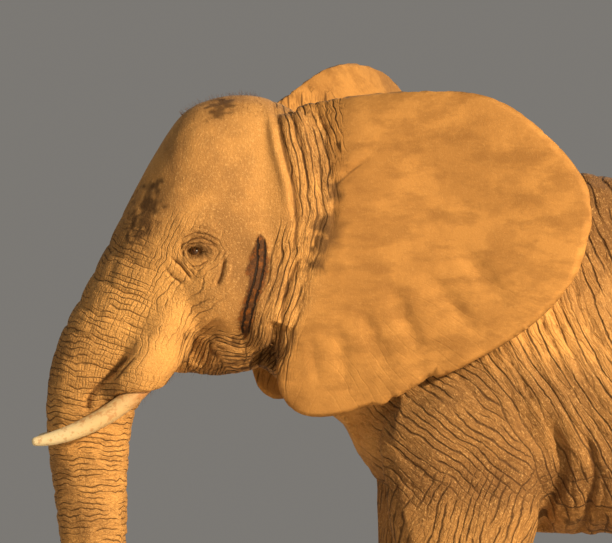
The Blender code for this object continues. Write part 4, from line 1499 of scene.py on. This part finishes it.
    def edge_drop(self, points: np.ndarray, fan: np.ndarray) -> np.ndarray:
        """How far to move each vertex up, below 0 for down, so that the left ear's lower edge has no notch.

        The solid has one there, where the shoulder is cut out of the ear.
        """
        first, last, least_up, lowest_up = 0.66, 1.0, -0.3, -0.70
        step, half_strip, margin = 10 * MM, 7 * MM, 0.02
        back, up = points[:, 1] - self.marks.eye.y, points[:, 2] - self.marks.eye.z
        places = np.arange(first, last, step)
        own = (fan > 0.5) & (points[:, 0] > self.marks.midline)
        own &= (back > first - margin) & (back < last + margin) & (up > lowest_up) & (up < least_up)
        edge_up, edge_back = up[own], back[own]
        strips = (edge_up[np.abs(edge_back - place) < half_strip] for place in places)
        lowest = np.array([strip.min(initial=least_up) for strip in strips])
        lack = np.minimum(np.interp(places, *zip(*EAR_EDGE)) - lowest, 0.0)
        lack *= eased(places, first, 0.70) * eased(places, last, 0.95)
        above = edge_up - np.interp(edge_back, places, lowest)
        drop = np.zeros(len(points))
        drop[own] = np.interp(edge_back, places, lack) * eased(above, 0.16, 0.01)
        return drop

    def refine_eyes(self, mesh: bpy.types.Mesh) -> None:
        """Halves the mesh's cells round the eyes, where the lids need finer ones."""
        work = bmesh.new()
        work.from_mesh(mesh)
        eye = self.marks.eye
        places = [Vector((self.marks.midline + side, eye.y, eye.z)) for side in (-0.30, 0.30)]
        span = self.lid_reach**2
        close = [e for e in work.edges if min((e.verts[0].co - p).length_squared for p in places) < span]
        bmesh.ops.subdivide_edges(work, edges=close, cuts=1, use_grid_fill=True)
        work.to_mesh(mesh)
        work.free()

    def modelled(self, surface: Surface, fan: np.ndarray) -> None:
        """Presses the eyes' sockets, then every stroke, into the smooth form."""
        for left in (True, False):
            surface.points = EyeSocket(self.marks, left).press(Places(surface.points, self.marks, fan))
        at = Places(surface.points, self.marks, fan)
        rise, swing, self.groove_shade = np.zeros((3, surface.count))
        for stroke in STROKES:
            lift, dark = stroke.lift(at)
            moved = swing if stroke.tool is Tool.BEND else rise
            moved += lift
            # Fine deep grooves also carry painted shade.
            self.groove_shade = np.maximum(self.groove_shade, dark)
        surface.points = surface.points + surface.normals() * rise[:, None]
        surface.points[:, 0] += np.where(at.left, swing, -swing)
        surface.write()

    def carved(self, surface: Surface, fan: np.ndarray) -> None:
        """Cuts every region's folds into the surface and keeps what the finish reads.

        Each layer follows the flow of the region that weighs most at a place, and fades out where the next
        one weighs nearly as much.
        """
        at = Places(surface.points, self.marks, fan)
        normals = surface.normals()
        depth, crease = np.zeros((2, surface.count))
        layers = {layer: Layer(surface.count) for layer in (1, 2, 3)}
        for region in REGIONS:
            cut, share, flow, weight = region.carve(at)
            depth += cut
            crease = np.maximum(crease, share)
            if region.layer in layers:
                layers[region.layer].lay(flow, weight * region.lined, region.line / region.unit)
        surface.points = surface.points - normals * np.minimum(depth, self.deepest_fold)[:, None]
        mesh = surface.owner.data
        for number, layer in layers.items():
            store(mesh, f"flow_{number}", layer.flow)
            store(mesh, f"reach_{number}", layer.first - layer.second)
            store(mesh, f"width_{number}", layer.width)
        # The crease attribute is painted shade in the folds' creases and the strokes' grooves.
        store(mesh, "crease", np.maximum(crease, self.groove_shade))
        store(mesh, "fan", fan)
        for name, mark in MARKINGS.items():
            store(mesh, name, mark(at))
        surface.write()

    def thinned(self, form: bpy.types.Object, at: Places) -> None:
        """Takes triangles away where the hide is plain, so that the face keeps the most."""
        group = form.vertex_groups.new(name="plain")
        head = eased(at.back, 0.75, 0.35) * eased(at.up, -1.1, -0.8)
        left_flank = 0.6 * eased(at.up, -1.2, -0.9) * eased(at.back, 1.9, 1.5) * at.left
        eyes = eased(np.hypot(at.back, at.up), 0.11, 0.07) * (at.side > 0.2)
        shown = np.maximum(head, left_flank)
        shown = shown * np.where(at.left, 1.0, 0.55) * np.where(at.fan > 0.5, 0.4, 1.0)
        shown = np.maximum(shown, 1.15 * eyes)
        weight = np.clip(np.round(1.0 - 0.85 * shown, 2), 0, 1)
        for level in np.unique(weight):
            group.add([int(i) for i in np.nonzero(weight == level)[0]], float(level), "REPLACE")
        ratio = min(1.0, self.triangles / triangle_count(form))
        modified(form, "DECIMATE", ratio=ratio, vertex_group="plain", vertex_group_factor=1.0)
        form.vertex_groups.clear()
        log.info("hide: %d triangles", triangle_count(form))

    def build(self) -> bpy.types.Object:
        """Makes the hide."""
        form, fan = self.whole_form()
        surface = Surface(form)
        surface.smooth(self.rounds_fine, 0.5)
        self.modelled(surface, fan)
        self.carved(surface, fan)
        self.thinned(form, Places(surface.points, self.marks, fan))
        dressed(form, HideFinish().build())
        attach(form, BODY)
        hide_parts(*self.flesh)
        return form


# ---------------------------------------------------------------------------- eyes, ivory and horn


def dressed(piece: bpy.types.Object, finish: bpy.types.Material) -> None:
    """Gives a piece its finish and smooth shading."""
    piece.data.materials.clear()
    piece.data.materials.append(finish)
    piece.data.polygons.foreach_set("use_smooth", np.ones(len(piece.data.polygons), bool))
    piece.data.update()


def rounded_copy(node: bpy.types.Object, name: str, levels: int, growth: float) -> bpy.types.Object:
    """A smooth copy of a faceted solid.

    Args:
        node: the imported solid.
        name: the copy's name.
        levels: how often its faces are divided.
        growth: how far its surface then moves out, to make up for what the rounding takes.

    Returns:
        The copy.
    """
    made = merged_copy(node, name)
    join_quads(made, 0.9)
    modified(made, "SUBSURF", levels=levels, render_levels=levels)
    swell(made, growth)
    return made


@dataclass
class Eyes:
    """Two cast glass balls, set a little deeper than the lids."""

    segments: int = 48
    cornea: float = 0.8 * MM
    cornea_reach: float = 0.60

    def ball(self, name: str, centre: Vector, radius: float, gaze: np.ndarray) -> bpy.types.Object:
        """One ball, with a cornea that stands out a little.

        Args:
            name: the ball's name.
            centre: its centre.
            radius: its radius without the cornea.
            gaze: the way it looks.

        Returns:
            The ball, which keeps each place's angles off and round the gaze.
        """
        work = bmesh.new()
        round_it, down_it = self.segments, self.segments // 2
        bmesh.ops.create_uvsphere(work, u_segments=round_it, v_segments=down_it, radius=radius)
        ball = new_object(work, name)
        ways = points_of(ball.data) / radius
        off = np.arccos(np.clip(ways @ gaze, -1, 1))
        grown = ways * (radius + self.cornea * eased(off, self.cornea_reach, 0.25))[:, None]
        set_points(ball.data, grown + np.array(centre))
        turn = np.arctan2(ways[:, 2], ways @ np.cross(gaze, (0, 0, 1)))
        store(ball.data, "off_gaze", off)
        store(ball.data, "round_gaze", np.abs(turn))
        return ball

    def build(self) -> list[bpy.types.Object]:
        """Makes both balls, each turned to look outwards and a little ahead."""
        finish = EyeFinish().build()
        made = []
        for side, out in (("left", 1.0), ("right", -1.0)):
            low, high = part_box(f"eye_{side}")
            gaze = np.array(Vector((out, -0.16, -0.10)).normalized())
            ball = self.ball(f"glass_eye_{side}", (low + high) / 2, (high.z - low.z) / 2, gaze)
            dressed(ball, finish)
            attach(ball, BODY)
            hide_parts(f"eye_{side}")
            made.append(ball)
        return made


@dataclass
class Tusks:
    """Two slim tusks that curve forwards out of the upper lip."""

    nodes: dict[str, bpy.types.Object]
    swell: float = 1.0 * MM

    def build(self) -> list[bpy.types.Object]:
        """Makes both tusks and keeps how far each place is from the root."""
        finish = IvoryFinish().build()
        made = []
        for side in ("left", "right"):
            tusk = rounded_copy(self.nodes[f"tusk_{side}"], f"tusk_of_{side}_side", 3, self.swell)
            points = points_of(tusk.data)
            from_tip = np.linalg.norm(points - points[np.argmin(points[:, 1])], axis=1)
            store(tusk.data, "along", 1.0 - from_tip / from_tip.max())
            dressed(tusk, finish)
            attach(tusk, BODY)
            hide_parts(f"tusk_{side}")
            made.append(tusk)
        return made


@dataclass
class Toenails:
    """The horn shields at the front of each foot."""

    nodes: dict[str, bpy.types.Object]
    swell: float = 2.0 * MM

    def build(self) -> list[bpy.types.Object]:
        """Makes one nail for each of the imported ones."""
        finish = HornFinish().build()
        made = []
        for name in sorted(n for n in self.nodes if n.startswith("toenail_")):
            nail = rounded_copy(self.nodes[name], name.replace("toenail_", "nail_"), 2, self.swell)
            dressed(nail, finish)
            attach(nail, BODY)
            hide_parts(name)
            made.append(nail)
        return made


# ---------------------------------------------------------------------------- hair


@dataclass(frozen=True)
class Hairs:
    """Hairs of one kind, grown on a patch of surface by a node tree.

    Lengths are in metres. The lie is the way that they point, and stray is how far each leans from it.
    """

    name: str
    count: int
    length: float
    thickness: float
    lie: tuple[float, float, float]
    stray: float
    fall: float
    seed: int
    steps: int
    sides: int = 3

    def planted(self, b: NodeBench, given: bpy.types.NodeOutputs) -> Socket:
        """Roots on the patch, each with one straight hair of its own length and lean."""
        seed = given["Seed"]
        patch = {"Mesh": given["Patch"], "Density": given["Density"], "Seed": seed}
        roots = b.add("GeometryNodeDistributePointsOnFaces", patch).outputs
        place = b.add("GeometryNodeInputPosition").outputs[0]
        kept = b.add(
            "GeometryNodeStoreNamedAttribute", {"Geometry": roots["Points"], "Name": "root", "Value": place},
            data_type="FLOAT_VECTOR",
        )
        span = {0: (-1.0, -1.0, -1.0), 1: (1.0, 1.0, 1.0), "Seed": seed}
        chance = b.add("FunctionNodeRandomValue", span, data_type="FLOAT_VECTOR").outputs[0]
        way = b.vector("ADD", b.scaled(chance, given["Stray"]), given["Lie"])
        way = b.vector("ADD", way, b.scaled(roots["Normal"], 0.5))
        turned = b.add("FunctionNodeAlignRotationToVector", {"Vector": way}, axis="Z")
        share = b.add("FunctionNodeRandomValue", {2: 0.6, 3: 1.0, "Seed": seed}, data_type="FLOAT").outputs[1]
        length = b.math("MULTIPLY", share, given["Length"])
        stalk = b.add("GeometryNodeCurvePrimitiveLine", {"Start": (0.0, 0.0, 0.0), "End": (0.0, 0.0, 1.0)})
        stalk = b.add("GeometryNodeResampleCurve", {"Curve": stalk.outputs[0], "Count": self.steps})
        planting = {"Points": kept.outputs[0], "Instance": stalk.outputs[0], "Rotation": turned.outputs[0]}
        stalks = b.add("GeometryNodeInstanceOnPoints", {**planting, "Scale": length})
        return b.add("GeometryNodeRealizeInstances", {"Geometry": stalks.outputs[0]}).outputs[0]

    def bent(self, b: NodeBench, given: bpy.types.NodeOutputs, stalks: Socket, up: Socket) -> Socket:
        """The stalks, which fall more and sway more towards their tips."""
        drop = b.math("MULTIPLY", b.math("MULTIPLY", b.math("POWER", up, 2.0), given["Fall"]), -1.0)
        down = b.add("ShaderNodeCombineXYZ", {"Z": drop}).outputs[0]
        wave = b.add("ShaderNodeTexNoise", {"Scale": 14.0, "Detail": 1.0}).outputs["Color"]
        sway = b.vector("SUBTRACT", wave, (0.5, 0.5, 0.5))
        sway = b.scaled(sway, b.math("MULTIPLY", up, given["Length"]))
        moved = b.vector("ADD", down, b.scaled(sway, 0.45))
        return b.add("GeometryNodeSetPosition", {"Geometry": stalks, "Offset": moved}).outputs[0]

    def tubes(self, b: NodeBench, given: bpy.types.NodeOutputs, stalks: Socket, up: Socket) -> Socket:
        """Thin tubes round the stalks, which taper to a quarter at their tips."""
        taper = b.add("ShaderNodeMapRange", {"Value": up, "To Min": 1.0, "To Max": 0.25}).outputs[0]
        radius = b.math("MULTIPLY", b.math("MULTIPLY", taper, given["Thickness"]), 0.5)
        ring = b.add("GeometryNodeCurvePrimitiveCircle", {"Resolution": self.sides, "Radius": 1.0})
        shape = {"Curve": stalks, "Profile Curve": ring.outputs[0], "Scale": radius}
        tube = b.add("GeometryNodeCurveToMesh", {**shape, "Fill Caps": True})
        return b.add("GeometryNodeRealizeInstances", {"Geometry": tube.outputs[0]}).outputs[0]

    def tree(self, finish: bpy.types.Material) -> bpy.types.NodeTree:
        """The node tree: roots, one straight hair at each, a bend, a taper, a tube.

        Args:
            finish: the hairs' material.

        Returns:
            The tree, whose sizes are named inputs.
        """
        tree = bpy.data.node_groups.new(f"{self.name}_growth", "GeometryNodeTree")
        labels = {"Geometry": ["Patch"], "Float": ["Density", "Length", "Thickness", "Stray", "Fall"]}
        labels |= {"Vector": ["Lie"], "Int": ["Seed"]}
        for kind, names in labels.items():
            for name in names:
                tree.interface.new_socket(name, in_out="INPUT", socket_type=f"NodeSocket{kind}")
        tree.interface.new_socket("Hair", in_out="OUTPUT", socket_type="NodeSocketGeometry")
        b = NodeBench(tree)
        given = b.add("NodeGroupInput").outputs
        stalks = self.planted(b, given)
        up = b.add("GeometryNodeSplineParameter").outputs["Factor"]
        whole = self.tubes(b, given, self.bent(b, given, stalks, up), up)
        done = b.add("GeometryNodeSetMaterial", {"Geometry": whole, "Material": finish})
        b.add("NodeGroupOutput", {0: done.outputs[0]})
        return tree

    def grown(self, patch: bpy.types.Object, finish: bpy.types.Material) -> bpy.types.Object:
        """Grows the hairs.

        Args:
            patch: the surface that they stand on, which is discarded.
            finish: their material.

        Returns:
            The hairs as one plain mesh with a map of their roots.
        """
        tree = self.tree(finish)
        area = sum(p.area for p in patch.data.polygons)
        grower = patch.modifiers.new("growth", "NODES")
        grower.node_group = tree
        sizes = {
            "Density": self.count / area, "Length": self.length, "Thickness": self.thickness,
            "Stray": self.stray, "Fall": self.fall * self.length, "Lie": self.lie, "Seed": self.seed,
        }
        for item in tree.interface.items_tree:
            if item.name in sizes:
                grower[item.identifier] = sizes[item.name]
        baked(patch)
        patch.name = patch.data.name = self.name
        self.map_roots(patch.data)
        dressed(patch, finish)
        return patch

    def map_roots(self, mesh: bpy.types.Mesh) -> None:
        """Lays each hair on a small patch at its root's place on an unrolled surface."""
        roots = rows(mesh.attributes["root"].data, "vector")
        points = points_of(mesh)
        middle = (roots.min(0) + roots.max(0)) / 2
        span = np.maximum(roots.max(0) - roots.min(0), 1e-6)
        turn = np.arctan2(roots[:, 0] - middle[0], roots[:, 1] - middle[1]) / (2 * math.pi) + 0.5
        high = (roots[:, 2] - roots[:, 2].min()) / span[2]
        own = (points - roots) / self.length
        side = 0.0015 * np.clip(own[:, 0] + own[:, 1], -1, 1)
        along = 0.003 * np.clip(np.linalg.norm(own, axis=1), 0, 1)
        spots = np.stack([0.02 + 0.95 * turn + side, 0.02 + 0.95 * high + along], 1)
        corners = np.empty(len(mesh.loops), np.int32)
        mesh.loops.foreach_get("vertex_index", corners)
        layer = mesh.uv_layers.new(name="OFBake")
        layer.data.foreach_set("uv", spots[corners].astype(np.float32).ravel())


@dataclass
class Coat:
    """All hair: the tail's brush, bristles on crown and chin, and the eyelashes."""

    nodes: dict[str, bpy.types.Object]
    marks: Landmarks
    brush: Hairs = Hairs("tail_brush", 420, 0.17, 1.9 * MM, (0.0, -0.12, -2.0), 0.22, 0.10, 7, 7)
    crown: Hairs = Hairs("crown_bristles", 380, 0.028, 0.8 * MM, (0.0, -0.30, 0.25), 0.45, 0.10, 8, 4)
    chin: Hairs = Hairs("chin_bristles", 45, 0.032, 0.7 * MM, (0.0, -0.30, -0.9), 0.40, 0.20, 9, 4)
    lashes: Hairs = Hairs("lashes", 60, 0.040, 1.1 * MM, (0.0, -0.20, -0.55), 0.22, 0.45, 10, 5)
    core_inset: float = 10 * MM

    def patch(self, skin: bpy.types.Object, wanted: np.ndarray) -> bpy.types.Object:
        """The part of the skin whose vertices are all wanted, as a mesh of its own."""
        work = bmesh.new()
        work.from_mesh(skin.data)
        work.verts.ensure_lookup_table()
        bmesh.ops.delete(work, geom=[work.verts[i] for i in np.nonzero(~wanted)[0]], context="VERTS")
        made = new_object(work, "patch")
        made.data.attributes.remove(made.data.attributes["fan"])
        return made

    def build_brush(self, finish: bpy.types.Material) -> bpy.types.Object:
        """The tail's brush: long wiry hairs that spring from its whole core."""
        roots = merged_copy(self.nodes["tail_tuft"], "roots")
        swell(roots, -self.core_inset)
        return self.brush.grown(roots, finish)

    def on_crown(self, at: Places, normals: np.ndarray) -> np.ndarray:
        """Whether each vertex is on the top of the head."""
        about = np.hypot(at.back - 0.10, at.up - 0.52) < 0.16
        return about & (at.side < 0.22) & (normals[:, 2] > 0.25)

    def on_chin(self, at: Places, normals: np.ndarray) -> np.ndarray:
        """Whether each vertex is under the tip of the lower jaw."""
        about = (at.back > -0.22) & (at.back < 0.06) & (at.up < -0.44) & (at.up > -0.60)
        return about & (normals[:, 2] < -0.1)

    def on_lid(self, at: Places, left: bool) -> np.ndarray:
        """Whether each vertex is on the rim of one eye's upper lid."""
        socket = EyeSocket(self.marks, left)
        _, top = socket.edges(at.back)
        rim = (np.abs(at.back) < 0.030) & (np.abs(at.up - top - 2.5 * MM) < 3.5 * MM)
        return rim & (at.side > socket.least_side) & (at.left == left)

    def build(self, skin: bpy.types.Object) -> list[bpy.types.Object]:
        """Grows every kind of hair on the finished skin."""
        finish = HairFinish().build()
        brush = self.build_brush(finish)
        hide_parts("tail_tuft")
        points, normals = points_of(skin.data), normals_of(skin.data)
        at = Places(points, self.marks, np.zeros(len(points)))
        made = [brush]
        made.append(self.crown.grown(self.patch(skin, self.on_crown(at, normals)), finish))
        made.append(self.chin.grown(self.patch(skin, self.on_chin(at, normals)), finish))
        for left in (True, False):
            lash = self.lashes.grown(self.patch(skin, self.on_lid(at, left)), finish)
            lash.name = lash.data.name = f"lashes_{'left' if left else 'right'}"
            made.append(lash)
        for piece in made:
            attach(piece, BODY)
        return made


# ---------------------------------------------------------------------------- the studio


@dataclass(frozen=True)
class Lamp:
    """One soft square lamp, placed by the way towards it from the middle of what it lights."""

    name: str
    way: tuple[float, float, float]
    reach: float
    size: float
    watts: float
    colour: tuple[float, float, float] = (1.0, 0.90, 0.80)
    middle: tuple[float, float, float] = (0.27, -0.4, 1.6)

    def build(self) -> None:
        """Makes the lamp, which looks at the middle."""
        data = bpy.data.lights.new(self.name, "AREA")
        data.shape, data.size, data.energy, data.color = "SQUARE", self.size, self.watts, self.colour
        made = bpy.data.objects.new(self.name, data)
        bpy.context.scene.collection.objects.link(made)
        way = Vector(self.way)
        made.location = Vector(self.middle) + way.normalized() * self.reach
        made.rotation_euler = (-way).to_track_quat("-Z", "Y").to_euler()


@dataclass
class Studio:
    """A plain pale floor, soft lights and the camera."""

    eye: Vector
    distance: float = 22.0
    lens: float = 343.0
    aim_back: float = 0.419
    aim_down: float = 0.075
    floor_radius: float = 22.0
    surround: tuple[float, float, float, float] = (0.8, 0.76, 0.7, 1.0)
    surround_strength: float = 0.25
    lamps: tuple[Lamp, ...] = (
        Lamp("key", (0.73, 0.62, 0.39), 11.0, 1.1, 2250, (1.0, 0.79, 0.52)),
        Lamp("fill", (0.9, -0.5, 0.5), 12.0, 6.0, 80),
        Lamp("far", (-0.9, 0.1, 0.6), 12.0, 6.0, 300),
    )

    def build_floor(self) -> None:
        """A pale disc under the soles."""
        work = bmesh.new()
        bmesh.ops.create_circle(work, cap_ends=True, segments=96, radius=self.floor_radius)
        floor = new_object(work, "floor")
        floor.data.materials.append(FloorFinish().build())

    def build_camera(self) -> None:
        """The camera on the animal's left, square to its side."""
        data = bpy.data.cameras.new("camera")
        data.lens = self.lens
        data.clip_end = 200
        camera = bpy.data.objects.new("camera", data)
        bpy.context.scene.collection.objects.link(camera)
        camera.location = self.eye + Vector((self.distance, self.aim_back, -self.aim_down))
        camera.rotation_euler = (math.radians(90), 0, math.radians(90))
        bpy.context.scene.camera = camera

    def build(self) -> None:
        """Floor, camera, lamps and the pale surround."""
        self.build_floor()
        self.build_camera()
        for lamp in self.lamps:
            lamp.build()
        world = bpy.data.worlds.new("surround")
        bpy.context.scene.world = world
        world.use_nodes = True
        background = world.node_tree.nodes["Background"].inputs
        background["Color"].default_value = self.surround
        background["Strength"].default_value = self.surround_strength
        bpy.context.scene.view_settings.view_transform = "Standard"


def main() -> None:
    """Builds the looks in order and reports each piece."""
    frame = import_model()
    nodes = frame["nodes"]
    low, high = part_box("eye_left")
    eye = (low + high) / 2
    far_low, far_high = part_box("eye_right")
    marks = Landmarks(eye, (eye.x + (far_low.x + far_high.x) / 2) / 2)
    skin = Hide(nodes, marks).build()
    pieces = [skin, *Eyes().build(), *Tusks(nodes).build(), *Toenails(nodes).build()]
    pieces += Coat(nodes, marks).build(skin)
    for piece in pieces:
        log.info("%s: %d triangles", piece.name, triangle_count(piece))
    Studio(eye).build()


if __name__ == "__main__":
    logging.basicConfig(level=logging.INFO, format="%(asctime)s %(message)s")
    main()
